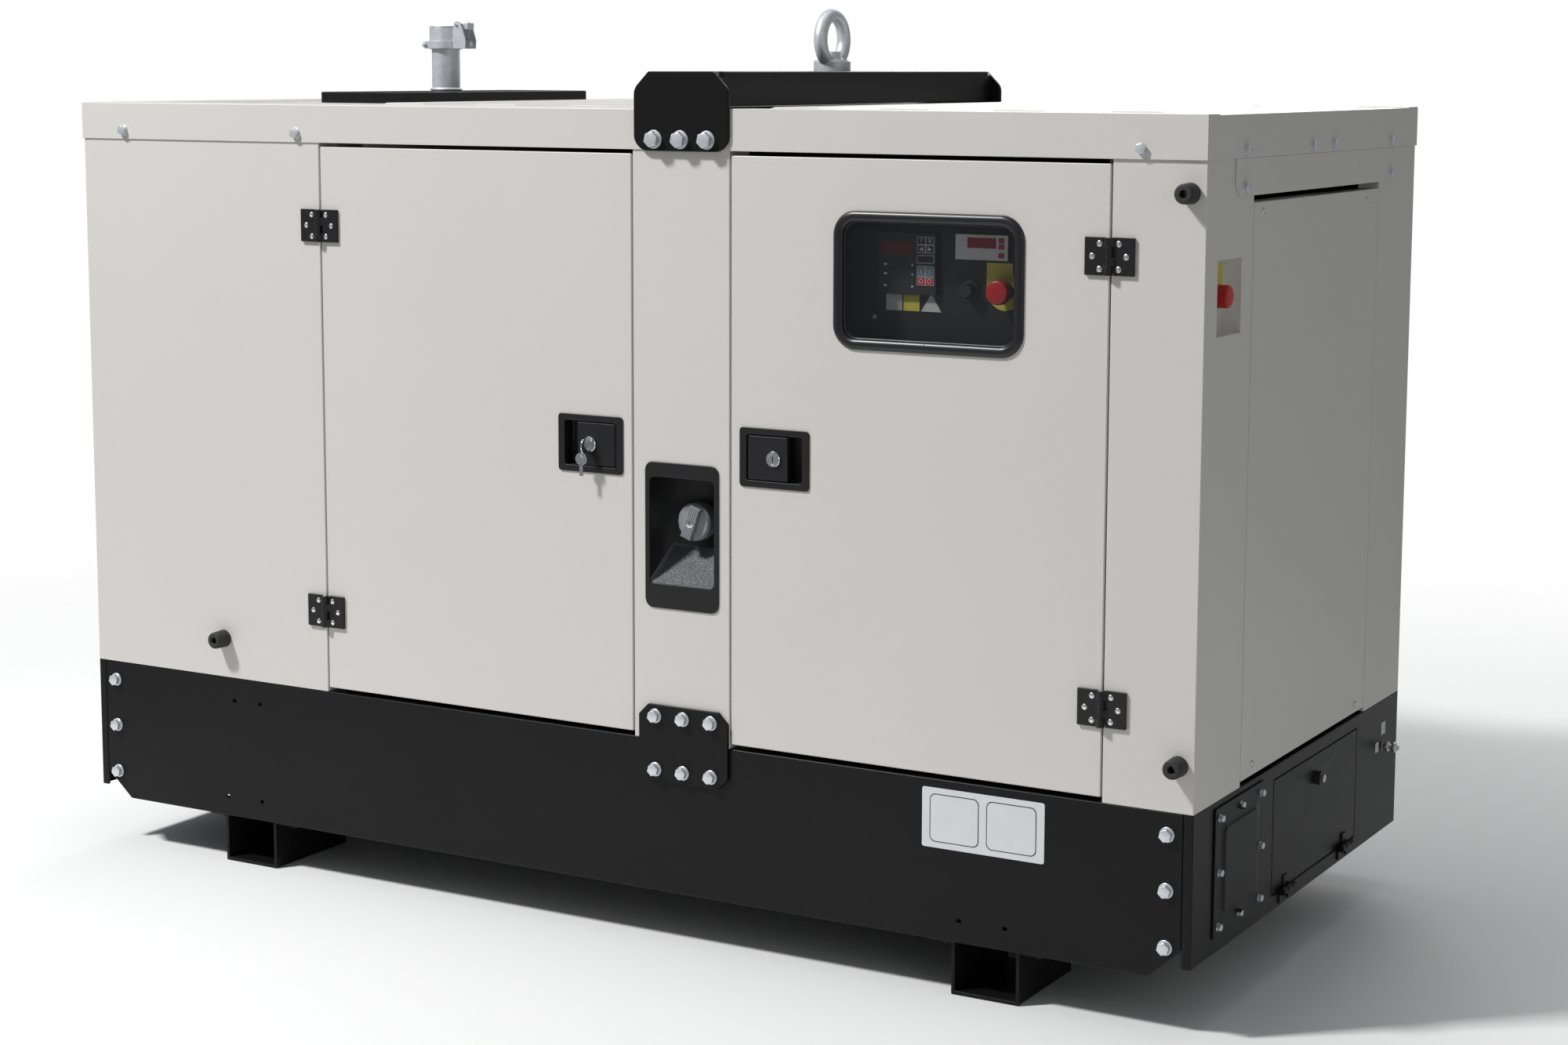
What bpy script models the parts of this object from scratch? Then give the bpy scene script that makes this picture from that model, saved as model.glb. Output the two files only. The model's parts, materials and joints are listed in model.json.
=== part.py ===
"""Enclosed diesel generating set: a sheet-metal canopy on a skid base, with two lockable service doors, a
control window, a filler recess, a lifting beam with its eye, and the engine, alternator and tank it holds.

Frame: X along the long side (the control end is +X), Y to the back, Z up. The origin is on the ground under
the middle of the base. All sizes are in metres.
"""

import math

import bmesh
import bpy
from mathutils import Matrix, Vector
from mathutils.geometry import tessellate_polygon

# ---- Driving dimensions: the whole set ----
LENGTH = 2.200  # canopy and base, outside
WIDTH = 0.987
FOOT_HEIGHT = 0.090
RAIL_HEIGHT = 0.261
CANOPY_HEIGHT = 1.044  # base top to roof top
STRETCH = LENGTH / 2.200  # places and spans along X follow the length
SPREAD = WIDTH / 0.987  # and those along Y follow the width

# ---- Sheets and clearances ----
SHEET = 0.002  # canopy sheet
PLATE = 0.004  # base plate
GAP = 0.0003  # between faces that touch
RUNNING = 0.0006  # between a turning piece and its seat
SEAM = 0.003  # visible gap between panels
CAP_CLEARANCE = 0.0005  # roof lip to canopy side

# ---- Front wall, from the left end: fixed panel, door, column, door, corner post ----
SIDE_PANEL = 0.5515 * STRETCH
LEFT_DOOR = 0.650 * STRETCH
COLUMN = 0.188
RIGHT_DOOR = 0.6595 * STRETCH
DOOR_DEPTH = 0.028
RETURN = DOOR_DEPTH + 0.002  # fold depth of the fixed panels
LAP = 0.018  # flange that the doors close on
DOOR_BOTTOM_GAP = 0.008
DOOR_TOP_GAP = 0.007

# ---- End walls ----
END_PANEL = 0.597 * SPREAD
END_PANEL_TOP_SLOT = 0.011
CROSS_PLATE = 0.766 * SPREAD
CROSS_PLATE_DROP = 0.057
CROSS_PLATE_CHAMFER = 0.018

# ---- Roof ----
ROOF_LIP = 0.066
RIB_WIDTH = 0.095
RIB_HEIGHT = 0.004
RIB_PITCH = 0.195
RIB_END = 0.045  # rib end to roof edge
SLOT = (0.014, 0.230)
SLOT_PITCH = 0.030
SLOT_COUNT = 8
SLOT_ROW_PITCH = 0.270
GRILLE_START = 0.080  # left roof edge to the first slot
LIP_BOLT_RISE = (0.016, 0.012)  # over the lip's bottom edge, on the long sides and on the ends
LIP_BOLTS_X = (-1.001 * STRETCH, -0.5985 * STRETCH, 0.997 * STRETCH)
LIP_BOLTS_Y = (-0.346 * SPREAD, -0.050, 0.050, 0.346 * SPREAD)

# ---- Exhaust ----
TAILPIPE_X = -0.640 * STRETCH
TAILPIPE_RADIUS = 0.027
TAILPIPE_WALL = 0.002
TAILPIPE_RISE = 0.130  # roof top to pipe top
RAINCAP_RADIUS = 0.031
RAINCAP_HEIGHT = 0.041
RAINCAP_STAND = 0.010  # collar top above the pipe
RAINCAP_EAR = (0.014, 0.003)  # middle to an ear's middle, and its thickness
RAINCAP_BARREL = (0.0045, 0.0025, 0.011)  # outer radius, bore radius, half length
COVER = (0.195, 0.580 * SPREAD, 0.020)
COVER_SHIFT = 0.029  # cover centre beyond the pipe
SILENCER_RADIUS = 0.085
SILENCER_LENGTH = 0.520 * STRETCH

# ---- Lifting ----
LIFT_SHIFT = 0.006  # column middle to beam middle
BEAM_WIDTH = 0.179  # over its end plates
BEAM_INSET = 0.020  # end plate edge to channel side
BEAM_HEIGHT = 0.060
BEAM_PLATE = 0.006
BRACKET_PLATE = 0.008
BRACKET_DROP = 0.128  # beam top to bracket bottom
BRACKET_CHAMFER = 0.028
BRACKET_CORNER = 0.016
BRACKET_BOLTS = (0.050, 0.019)  # pitch, and height over the bracket bottom
EYE_RING = 0.042
EYE_WIRE = 0.012
EYE_HEIGHT = 0.109
EYE_COLLAR = (0.0325, 0.020)
TIE_PLATE = (0.172, 0.129, 0.006)
TIE_CHAMFER = 0.018
TIE_BOLTS = (0.054, 0.0455)  # pitch along X, and half the pitch along Z
TIE_DROP = 0.005  # plate centre below the base top

# ---- Skid feet (open fork pockets) ----
FOOT_SPAN = 1.500 * STRETCH
FOOT_WIDTH = 0.119
FOOT_DEPTH = 0.200
FOOT_PLATE = 0.006
FOOT_FLANGE = 0.038
FOOT_INSET = 0.015

# ---- Base ----
CORNER_STRIP = 0.016
RAIL_CHAMFER = (0.055, 0.048)
RAIL_TOP_FLANGE = 0.040
RAIL_BOTTOM_FLANGE = 0.100
RAIL_FLANGE_INSET = 0.060
END_LIFT = 0.020  # end plate above the rail bottom
SMALL_HOLE = 0.004
RAIL_HOLES = ((-0.040, 0.036), (0.040, 0.036))  # from a foot's centre, and over the rail bottom
LEFT_FOOT_HOLES = ((-0.020, 0.218), (0.040, 0.218))
BASE_BOLTS = (0.050, 0.139, 0.226)  # over the rail bottom
BASE_BOLT_INSET = 0.042
FLAP = (0.411 * SPREAD, 0.190)
FLAP_Y = 0.060 * SPREAD
FLAP_TOP = 0.024  # flap top below the rail top
FLAP_HINGE_INSET = 0.060
FLAP_LUG = (0.020, 0.017)  # hinge middle to a lug's middle, and the lug's length
FLAP_LOCK = (0.012, 0.009, 0.040)  # radius, height, and how far below the flap top
ACCESS_PLATE = (0.212, 0.206, 0.003)
ACCESS_Y = -0.303 * SPREAD
ACCESS_TOP = 0.010
ACCESS_OPENING = (0.080, 0.060)  # how much smaller the hole is than its plate
STUD = (0.005, 0.030)
STUD_PLACE = (0.413 * SPREAD, 0.085)  # along Y, and below the rail top

# ---- Hinges ----
LEAF = (0.040, 0.057, 0.005)
KNUCKLE_RADIUS = 0.0065
PIN_RADIUS = 0.003
PIN_BORE = 0.0035
HINGE_FROM_TOP = 0.2105  # roof top to the upper hinge's middle
HINGE_FROM_BASE = 0.147  # base top to the lower hinge's middle

# ---- Latches ----
LATCH_INSET = 0.083  # latch edge of the door to the dish centre
LATCH_RISE = 0.4875  # base top to the dish centre
DISH = (0.129, 0.097, 0.0025)
DISH_BOWL = (0.103, 0.075, 0.022)
DISH_WALL = 0.002
PADDLE_REACH = 0.070
PADDLE_SIDE_GAP = 0.002
PADDLE_THICK = 0.012
PADDLE_PIN = 0.0025
LOCK = (0.011, 0.003)

# ---- Control window and cubicle ----
WINDOW = (0.336, 0.219)
WINDOW_CENTRE = (0.305 * STRETCH, 0.1905)  # hinge edge of the door, and door top, to its centre
WINDOW_RADIUS = 0.034
SEAL_FACE = 0.014  # visible width of the rubber
SEAL_PROUD = 0.005
SEAL_GRIP = 0.008
SEAL_BITE = 0.005  # how deep the pane sits in the rubber
PANE = 0.004
CUBICLE = (0.460 * STRETCH, WIDTH / 2 - 0.3135)
CUBICLE_TOP = 0.120  # roof top to cubicle top
CUBICLE_BEHIND = 0.066  # canopy face to cubicle face
ESTOP_RADIUS = 0.019
ESTOP_HEIGHT = 0.034
ESTOP_STEM = 0.008
ESTOP_PLACE = (0.128, 0.156)  # cubicle right edge, and cubicle top, to the button

# ---- Emergency stop pocket in the corner post ----
POCKET = (0.098, 0.113, 0.035)
POCKET_Y = -0.395 * SPREAD
POCKET_TOP = 0.215  # roof top to pocket top
SIDE_STOP_Y = -0.388 * SPREAD

# ---- Filler recess ----
FILLER = (0.142, 0.244)
FILLER_CENTRE = 0.345  # base top to recess centre
FILLER_SHIFT = 0.002  # column middle to recess middle
FILLER_RADIUS = 0.014
FILLER_PROUD = 0.0025
FILLER_MOUTH = (0.124, 0.178)
FILLER_MOUTH_LIFT = 0.008
FILLER_BACK = (0.108, 0.120)
FILLER_BACK_LIFT = 0.032
FILLER_DEPTH = 0.060
FILLER_WALL = 0.003
CAP_RADIUS = 0.032
CAP_DROP = 0.012  # cap centre below the middle of the recess's back
CAP_DEPTH = 0.026
CAP_GRIP = (0.056, 0.020, 0.010)
CAP_GRIP_LEAN = math.radians(20)
NECK_RADIUS = 0.024

# ---- Rubber buffers: place along X, and height over the base top ----
BUFFER_BASE = 0.0160
BUFFER_TIP = 0.0145
BUFFER_LENGTH = 0.030
BUFFER_BORE = (0.006, 0.018)
BUFFER_INSET = 0.026  # right end of the canopy to the buffers on its corner post
BUFFER_PLACES = {
    "upper_right": (LENGTH / 2 - BUFFER_INSET, CANOPY_HEIGHT - 0.114),
    "lower_right": (LENGTH / 2 - BUFFER_INSET, 0.073),
    "lower_left": (-0.790 * STRETCH, 0.072),
}

# ---- Engine room ----
MOUNT_HEIGHT = 0.060
ENGINE = (0.700 * STRETCH, 0.420, 0.560)
ENGINE_X = -0.370 * STRETCH
SHAFT_HEIGHT = 0.330  # deck to crankshaft
ALTERNATOR = (0.210, 0.480 * STRETCH)
RADIATOR = (0.080, 0.720 * SPREAD, 0.720)
RADIATOR_X = -0.960 * STRETCH
FAN_RADIUS = 0.250
FAN_HUB = 0.050
FAN_WIDTH = 0.045
FAN_BLADES = 6
FAN_STUB = 0.018
FAN_GAP = 0.020  # engine to fan
FAN_RISE = 0.090  # crankshaft to fan shaft
TANK = (0.950 * STRETCH, WIDTH - 0.287, 0.180)
TANK_X = -0.030 * STRETCH
BATTERY = (0.300, 0.175, 0.200)
BATTERY_PLACE = (0.780 * STRETCH, 0.180 * SPREAD)

# ---- Fasteners: washer radius, head radius, head height ----
M16 = (0.015, 0.0135, 0.010)
M12 = (0.012, 0.0108, 0.008)
M10 = (0.010, 0.0090, 0.006)
M6 = (0.0065, 0.0055, 0.0045)
WASHER = 0.0025

# ---- Levels and lines worked out from the above ----
BASE_BOTTOM = FOOT_HEIGHT
BASE_TOP = BASE_BOTTOM + RAIL_HEIGHT
ROOF_TOP = BASE_TOP + CANOPY_HEIGHT
LIP_BOTTOM = ROOF_TOP - ROOF_LIP
WALL_BOTTOM = BASE_TOP + GAP
WALL_TOP = ROOF_TOP - SHEET - GAP
DOOR_BOTTOM = BASE_TOP + DOOR_BOTTOM_GAP
DOOR_TOP = LIP_BOTTOM - DOOR_TOP_GAP
HALF_LENGTH = LENGTH / 2
HALF_WIDTH = WIDTH / 2
HALF_END_PANEL = END_PANEL / 2
CAP_OVERHANG = CAP_CLEARANCE + SHEET
SEAM_SIDE = -HALF_LENGTH + SIDE_PANEL
SEAM_COLUMN_LEFT = SEAM_SIDE + LEFT_DOOR
SEAM_COLUMN_RIGHT = SEAM_COLUMN_LEFT + COLUMN
SEAM_POST = SEAM_COLUMN_RIGHT + RIGHT_DOOR
LIFT_X = (SEAM_COLUMN_LEFT + SEAM_COLUMN_RIGHT) / 2 + LIFT_SHIFT
DECK_TOP = BASE_TOP - PLATE - GAP
AXIS_PROUD = KNUCKLE_RADIUS + GAP
MIDDLE_SEAM = SEAM / 2
PIPE_TOP = ROOF_TOP + TAILPIPE_RISE
BEAM_TOP = ROOF_TOP + BEAM_HEIGHT


# ---- Helpers ----
def clear_scene():
    for obj in list(bpy.data.objects):
        bpy.data.objects.remove(obj, do_unlink=True)


def finish_of(name, colour, roughness, metallic=0.0):
    """A plain Principled material."""
    material = bpy.data.materials.new(name)
    material.use_nodes = True
    shader = material.node_tree.nodes["Principled BSDF"]
    shader.inputs["Base Color"].default_value = (*colour, 1)
    shader.inputs["Roughness"].default_value = roughness
    shader.inputs["Metallic"].default_value = metallic
    return material


def at(along, p, q, w):
    """The point with in-plane coordinates p, q and w along the named axis."""
    return {"X": (w, p, q), "Y": (p, w, q), "Z": (p, q, w)}[along]


def prism(bm, loops, along, start, end):
    """A solid between two planes; the first loop is its outline and the others are holes."""
    near = [[bm.verts.new(at(along, p, q, start)) for p, q in loop] for loop in loops]
    far = [[bm.verts.new(at(along, p, q, end)) for p, q in loop] for loop in loops]
    near_flat = [vert for ring in near for vert in ring]
    far_flat = [vert for ring in far for vert in ring]
    for corners in tessellate_polygon([[Vector((p, q, 0)) for p, q in loop] for loop in loops]):
        bm.faces.new([near_flat[i] for i in corners])
        bm.faces.new([far_flat[i] for i in reversed(corners)])
    for first, second in zip(near, far):
        wall(bm, first, second)


def wall(bm, first, second):
    """Joins two rings of as many points."""
    for i in range(len(first)):
        j = (i + 1) % len(first)
        bm.faces.new((first[i], first[j], second[j], second[i]))


def loft(bm, sections, closed=False):
    """A skin through rings of points, capped at both ends, or joined end to end when closed."""
    rings = [[bm.verts.new(point) for point in section] for section in sections]
    for first, second in zip(rings, rings[1:]):
        wall(bm, first, second)
    if closed:
        wall(bm, rings[-1], rings[0])
    else:
        bm.faces.new(rings[0])
        bm.faces.new(list(reversed(rings[-1])))


def turned(bm, profile, along, centre, steps=12, closed=False, phase=0.0):
    """A turned piece: (radius, place along the axis) pairs, about the axis through centre (p, q)."""
    p, q = centre
    angles = [2 * math.pi * (i + phase) / steps for i in range(steps)]
    sections = [[at(along, p + r * math.cos(a), q + r * math.sin(a), w) for a in angles] for r, w in profile]
    loft(bm, sections, closed)


def block(bm, low, high):
    prism(bm, [rectangle(low[0], low[1], high[0], high[1])], "Z", low[2], high[2])


def rectangle(p0, q0, p1, q1):
    return [(p0, q0), (p1, q0), (p1, q1), (p0, q1)]


def rounded(centre, size, radius, steps=3):
    """A rectangle with round corners, as points anticlockwise."""
    points = []
    for k, (sp, sq) in enumerate(((1, 1), (-1, 1), (-1, -1), (1, -1))):
        corner = (centre[0] + sp * (size[0] / 2 - radius), centre[1] + sq * (size[1] / 2 - radius))
        for i in range(steps + 1):
            a = math.pi / 2 * (k + i / steps)
            points.append((corner[0] + radius * math.cos(a), corner[1] + radius * math.sin(a)))
    return points


def chamfered(centre, size, low, high):
    """A rectangle whose lower and upper corners are cut at 45 degrees."""
    p, q = size[0] / 2, size[1] / 2
    right = [(p - low, -q), (p, -q + low), (p, q - high), (p - high, q)]
    points = right + [(-x, y) for x, y in reversed(right)]
    return [(centre[0] + x, centre[1] + y) for x, y in points]


def folded(path, thickness):
    """The outline of a folded sheet whose outer face follows the path, and whose metal is on its right."""
    inner = []
    for i, (x, y) in enumerate(path):
        normals = []
        for j in (i - 1, i):
            if 0 <= j < len(path) - 1:
                dx, dy = path[j + 1][0] - path[j][0], path[j + 1][1] - path[j][1]
                size = math.hypot(dx, dy)
                normals.append((dy / size, -dx / size))
        nx, ny = (sum(n[k] for n in normals) for k in (0, 1))
        scale = len(normals) * thickness / (nx * nx + ny * ny)
        if len(normals) == 1:
            scale = thickness
        inner.append((x + nx * scale, y + ny * scale))
    return path + inner[::-1]


def tray(bm, low, high, thickness, along, open_high=True):
    """A five-walled box, open at one end of the named axis."""
    k = "XYZ".index(along)
    p, q = [i for i in range(3) if i != k]
    mouth, floor = (high[k], low[k]) if open_high else (low[k], high[k])
    inside = floor + thickness if open_high else floor - thickness
    outer = rectangle(low[p], low[q], high[p], high[q])
    t = thickness
    inner = rectangle(low[p] + t, low[q] + t, high[p] - t, high[q] - t)
    sections = [
        [at(along, *point, w) for point in ring]
        for ring, w in ((outer, floor), (outer, mouth), (inner, mouth), (inner, inside))
    ]
    loft(bm, sections)


def bolt(bm, seat, along, sign, size):
    """A washer and a hexagon head standing on a plate, with their root a little inside it."""
    washer, head, height = size
    k = "XYZ".index(along)
    p, q = [seat[i] for i in range(3) if i != k]
    w = seat[k]
    rise = [w - sign * 0.001, w + sign * WASHER, w + sign * WASHER, w + sign * (WASHER + height)]
    turned(bm, list(zip((washer, washer, head, head), rise)), along, (p, q), steps=6, phase=0.5)


def solid(name, bm, material, origin=(0, 0, 0), parent=None, smooth=False):
    """Makes the object, with its origin where its joint or its seat is."""
    bmesh.ops.recalc_face_normals(bm, faces=bm.faces)
    bmesh.ops.translate(bm, verts=bm.verts, vec=-Vector(origin))
    mesh = bpy.data.meshes.new(name)
    bm.to_mesh(mesh)
    bm.free()
    if smooth:
        mesh.shade_smooth()
        mesh.set_sharp_from_angle(angle=math.radians(35))
    mesh.materials.append(material)
    obj = bpy.data.objects.new(name, mesh)
    obj.location = origin
    bpy.context.scene.collection.objects.link(obj)
    if parent:
        obj.parent = parent
        obj.location = Vector(origin) - parent.location
    return obj


def tool(name, bm):
    """A cutter or a piece that a Boolean joins on; it isn't part of the object by itself."""
    bmesh.ops.recalc_face_normals(bm, faces=bm.faces)
    mesh = bpy.data.meshes.new(name)
    bm.to_mesh(mesh)
    bm.free()
    obj = bpy.data.objects.new(name, mesh)
    bpy.context.scene.collection.objects.link(obj)
    obj.hide_render = True
    obj.display_type = "WIRE"
    return obj


def boolean(obj, other, operation):
    modifier = obj.modifiers.new(f"{operation.lower()}_{other.name}", "BOOLEAN")
    modifier.operation = operation
    modifier.solver = "EXACT"
    modifier.use_self = operation == "UNION"
    modifier.object = other


def cut(obj, bm):
    boolean(obj, tool(f"cut_{obj.name}_{len(obj.modifiers)}", bm), "DIFFERENCE")


def add(obj, bm):
    boolean(obj, tool(f"add_{obj.name}_{len(obj.modifiers)}", bm), "UNION")


# ---- Skid base ----
def rail(name, side, material):
    """A C-section side rail, with chamfered lower corners, small holes and its corner bolts."""
    face = side * HALF_WIDTH
    half = HALF_LENGTH - CORNER_STRIP - GAP
    path = [
        (face - side * RAIL_TOP_FLANGE, BASE_TOP),
        (face, BASE_TOP),
        (face, BASE_BOTTOM),
        (face - side * RAIL_BOTTOM_FLANGE, BASE_BOTTOM),
    ]
    bm = bmesh.new()
    prism(bm, [folded(path if side > 0 else path[::-1], PLATE)], "X", -half, half)
    obj = solid(name, bm, material)

    cutter = bmesh.new()
    across, up = RAIL_CHAMFER
    for end in (-1, 1):
        corner = [
            (end * (half - across - PLATE * across / up), BASE_BOTTOM - PLATE),
            (end * (half + PLATE), BASE_BOTTOM - PLATE),
            (end * (half + PLATE), BASE_BOTTOM + up * (1 + PLATE / across)),
        ]
        prism(cutter, [corner], "Y", face - side * 0.2, face + side * 0.01)
        flange = sorted((end * (half + PLATE), end * (half - RAIL_FLANGE_INSET)))
        depth = sorted((face - side * (PLATE + GAP), face - side * 0.2))
        block(cutter, (flange[0], depth[0], BASE_TOP - 0.01), (flange[1], depth[1], BASE_TOP + 0.01))
    cut(obj, cutter)

    holes = bmesh.new()
    bore = [(SMALL_HOLE, face - side * 0.01), (SMALL_HOLE, face + side * 0.01)]
    for end, places in ((-1, RAIL_HOLES + LEFT_FOOT_HOLES), (1, RAIL_HOLES)):
        for shift, rise in places:
            turned(holes, bore, "Y", (end * FOOT_SPAN / 2 + shift, BASE_BOTTOM + rise), 6)
    cut(obj, holes)

    bolts = bmesh.new()
    for end in (-1, 1):
        for rise in BASE_BOLTS:
            bolt(bolts, (end * (HALF_LENGTH - BASE_BOLT_INSET), face, BASE_BOTTOM + rise), "Y", side, M12)
    add(obj, bolts)


def base_end(name, end, material):
    """An end plate folded round both corners. The right one has the flap opening and the earth stud."""
    x = end * HALF_LENGTH
    path = [
        (x - end * CORNER_STRIP, -HALF_WIDTH),
        (x, -HALF_WIDTH),
        (x, HALF_WIDTH),
        (x - end * CORNER_STRIP, HALF_WIDTH),
    ]
    bm = bmesh.new()
    prism(bm, [folded(path if end < 0 else path[::-1], PLATE)], "Z", BASE_BOTTOM + END_LIFT, BASE_TOP)
    obj = solid(name, bm, material)
    if end < 0:
        return
    top = BASE_TOP - FLAP_TOP
    cutter = bmesh.new()
    low, high = FLAP_Y - FLAP[0] / 2 - MIDDLE_SEAM, FLAP_Y + FLAP[0] / 2 + MIDDLE_SEAM
    block(cutter, (x - 0.02, low, top - FLAP[1] - MIDDLE_SEAM), (x + 0.02, high, top + MIDDLE_SEAM))
    width, height = ACCESS_PLATE[0] - ACCESS_OPENING[0], ACCESS_PLATE[1] - ACCESS_OPENING[1]
    middle = BASE_TOP - ACCESS_TOP - ACCESS_PLATE[1] / 2
    block(
        cutter,
        (x - 0.02, ACCESS_Y - width / 2, middle - height / 2),
        (x + 0.02, ACCESS_Y + width / 2, middle + height / 2),
    )
    cut(obj, cutter)

    lugs = bmesh.new()
    axis = (x + AXIS_PROUD, top - FLAP[1] - MIDDLE_SEAM)
    shift, half = FLAP_LUG[0], FLAP_LUG[1] / 2
    for y in flap_hinges():
        for middle in (y - shift, y + shift):
            turned(lugs, [(KNUCKLE_RADIUS, middle - half), (KNUCKLE_RADIUS, middle + half)], "Y", axis, 10)
            low = (x - 0.001, middle - half + 0.0005, axis[1] - 0.020)
            block(lugs, low, (x + 0.003, middle + half - 0.0005, axis[1] - 0.001))
        turned(lugs, [(PIN_RADIUS, y - shift), (PIN_RADIUS, y + shift)], "Y", axis, 8)
    add(obj, lugs)
    stud = bmesh.new()
    place = (STUD_PLACE[0], BASE_TOP - STUD_PLACE[1])
    radius, reach = STUD
    nut = 2 * radius
    profile = [(radius, x - 0.003), (radius, x + 0.004), (nut, x + 0.004), (nut, x + 0.012)]
    profile += [(radius, x + 0.012), (radius, x + 0.018), (nut, x + 0.018), (nut, x + 0.025)]
    profile += [(radius, x + 0.025), (radius, x + reach)]
    turned(stud, profile, "X", place, 6)
    add(obj, stud)


def flap_hinges():
    """Middles of the flap's two hinges, along Y."""
    reach = FLAP[0] / 2 - FLAP_HINGE_INSET
    return (FLAP_Y - reach, FLAP_Y + reach)


def base_flap(material):
    """The drop-down flap in the right end plate, with its two knuckles and its lock."""
    top = BASE_TOP - FLAP_TOP
    axis = (HALF_LENGTH + AXIS_PROUD, top - FLAP[1] - MIDDLE_SEAM)
    low = (HALF_LENGTH - PLATE, FLAP_Y - FLAP[0] / 2, top - FLAP[1])
    high = (HALF_LENGTH, FLAP_Y + FLAP[0] / 2, top)
    bm = bmesh.new()
    block(bm, low, high)
    obj = solid("base_flap", bm, material, origin=(axis[0], FLAP_Y, axis[1]))
    knuckles = bmesh.new()
    for y in flap_hinges():
        low, high = y - 0.010, y + 0.010
        profile = [(KNUCKLE_RADIUS, low), (KNUCKLE_RADIUS, high), (PIN_BORE, high), (PIN_BORE, low)]
        turned(knuckles, profile, "Y", axis, 10, closed=True)
    add(obj, knuckles)
    strap = bmesh.new()
    for y in flap_hinges():
        block(
            strap,
            (HALF_LENGTH - 0.001, y - 0.0095, axis[1] + MIDDLE_SEAM + 0.0005),
            (axis[0] - PIN_BORE - GAP, y + 0.0095, axis[1] + 0.022),
        )
    add(obj, strap)
    lock = bmesh.new()
    radius, proud, drop = FLAP_LOCK
    barrel = [(radius, HALF_LENGTH - 0.012), (radius, HALF_LENGTH + proud)]
    turned(lock, barrel, "X", (FLAP_Y, top - drop), 12)
    add(obj, lock)


def access_plate(material):
    """The bolted plate beside the flap, with a raised middle and eight screws."""
    x = HALF_LENGTH + GAP
    width, height, thick = ACCESS_PLATE
    centre = (ACCESS_Y, BASE_TOP - ACCESS_TOP - height / 2)
    sections = []
    for size, radius, level in (
        ((width, height), 0.004, x),
        ((width, height), 0.004, x + thick),
        ((width - 0.066, height - 0.066), 0.010, x + thick),
        ((width - 0.074, height - 0.074), 0.010, x + thick + 0.003),
    ):
        sections.append([at("X", p, q, level) for p, q in rounded(centre, size, radius)])
    bm = bmesh.new()
    loft(bm, sections)
    obj = solid("base_access_plate", bm, material)
    bolts = bmesh.new()
    for p in (-1, 0, 1):
        for q in (-1, 0, 1):
            if p or q:
                y, z = centre[0] + p * (width / 2 - 0.017), centre[1] + q * (height / 2 - 0.017)
                bolt(bolts, (x + thick, y, z), "X", 1, M6)
    add(obj, bolts)


def deck(material):
    """The plate under the rails' top flanges that carries the engine, the cubicle and the battery."""
    half = (HALF_LENGTH - PLATE - 2 * GAP, HALF_WIDTH - PLATE - GAP)
    bm = bmesh.new()
    block(bm, (-half[0], -half[1], DECK_TOP - PLATE), (half[0], half[1], DECK_TOP))
    obj = solid("base_deck", bm, material)
    cutter = bmesh.new()
    radius = NECK_RADIUS + 0.004
    turned(cutter, [(radius, DECK_TOP - 0.02), (radius, DECK_TOP + 0.02)], "Z", neck_foot(), 12)
    cut(obj, cutter)


def skid_foot(name, x, side, material):
    """A hat-section foot bolted under a rail; its channel takes a fork tine."""
    half, t = FOOT_WIDTH / 2, FOOT_PLATE
    top = FOOT_HEIGHT - GAP
    path = [
        (x - half - FOOT_FLANGE, top),
        (x - half + t, top),
        (x - half + t, t),
        (x + half - t, t),
        (x + half - t, top),
        (x + half + FOOT_FLANGE, top),
    ]
    outer = side * (HALF_WIDTH - FOOT_INSET)
    bm = bmesh.new()
    prism(bm, [folded(path, t)], "Y", outer, outer - side * FOOT_DEPTH)
    obj = solid(name, bm, material)
    bolts = bmesh.new()
    for shift in (-1, 1):
        bolt(bolts, (x + shift * (half + 0.020), outer - side * 0.030, top - t), "Z", -1, M12)
    add(obj, bolts)


# ---- Canopy walls ----
def corner_wall(name, seam, end, side, material):
    """A wall sheet round one corner, from its door or service panel to the panel in the end wall."""
    face, x = side * HALF_WIDTH, end * HALF_LENGTH
    edge = seam + end * MIDDLE_SEAM
    stop = side * (HALF_END_PANEL + MIDDLE_SEAM)
    path = [
        (edge - end * LAP, face - side * RETURN),
        (edge, face - side * RETURN),
        (edge, face),
        (x, face),
        (x, stop),
        (x - end * RETURN, stop),
        (x - end * RETURN, stop - side * LAP),
    ]
    turn = end * side
    bm = bmesh.new()
    prism(bm, [folded(path if turn > 0 else path[::-1], SHEET)], "Z", WALL_BOTTOM, WALL_TOP)
    return solid(name, bm, material)


def stop_pocket(post):
    """Sinks the emergency stop's pocket into the corner post, with the bore for the button's stem."""
    width, height, depth = POCKET
    low = (HALF_LENGTH - depth, POCKET_Y - width / 2, ROOF_TOP - POCKET_TOP - height)
    high = (HALF_LENGTH - SHEET / 2, POCKET_Y + width / 2, ROOF_TOP - POCKET_TOP)
    bm = bmesh.new()
    block(bm, [v - SHEET for v in low], (high[0], high[1] + SHEET, high[2] + SHEET))
    add(post, bm)
    bm = bmesh.new()
    block(bm, low, (HALF_LENGTH + 0.01, high[1], high[2]))
    cut(post, bm)
    bm = bmesh.new()
    bore = ESTOP_STEM + RUNNING
    turned(bm, [(bore, low[0] - 0.01), (bore, low[0] + 0.01)], "X", side_stop(), 12)
    cut(post, bm)


def side_stop():
    return (SIDE_STOP_Y, ROOF_TOP - POCKET_TOP - POCKET[1] / 2)


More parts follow.
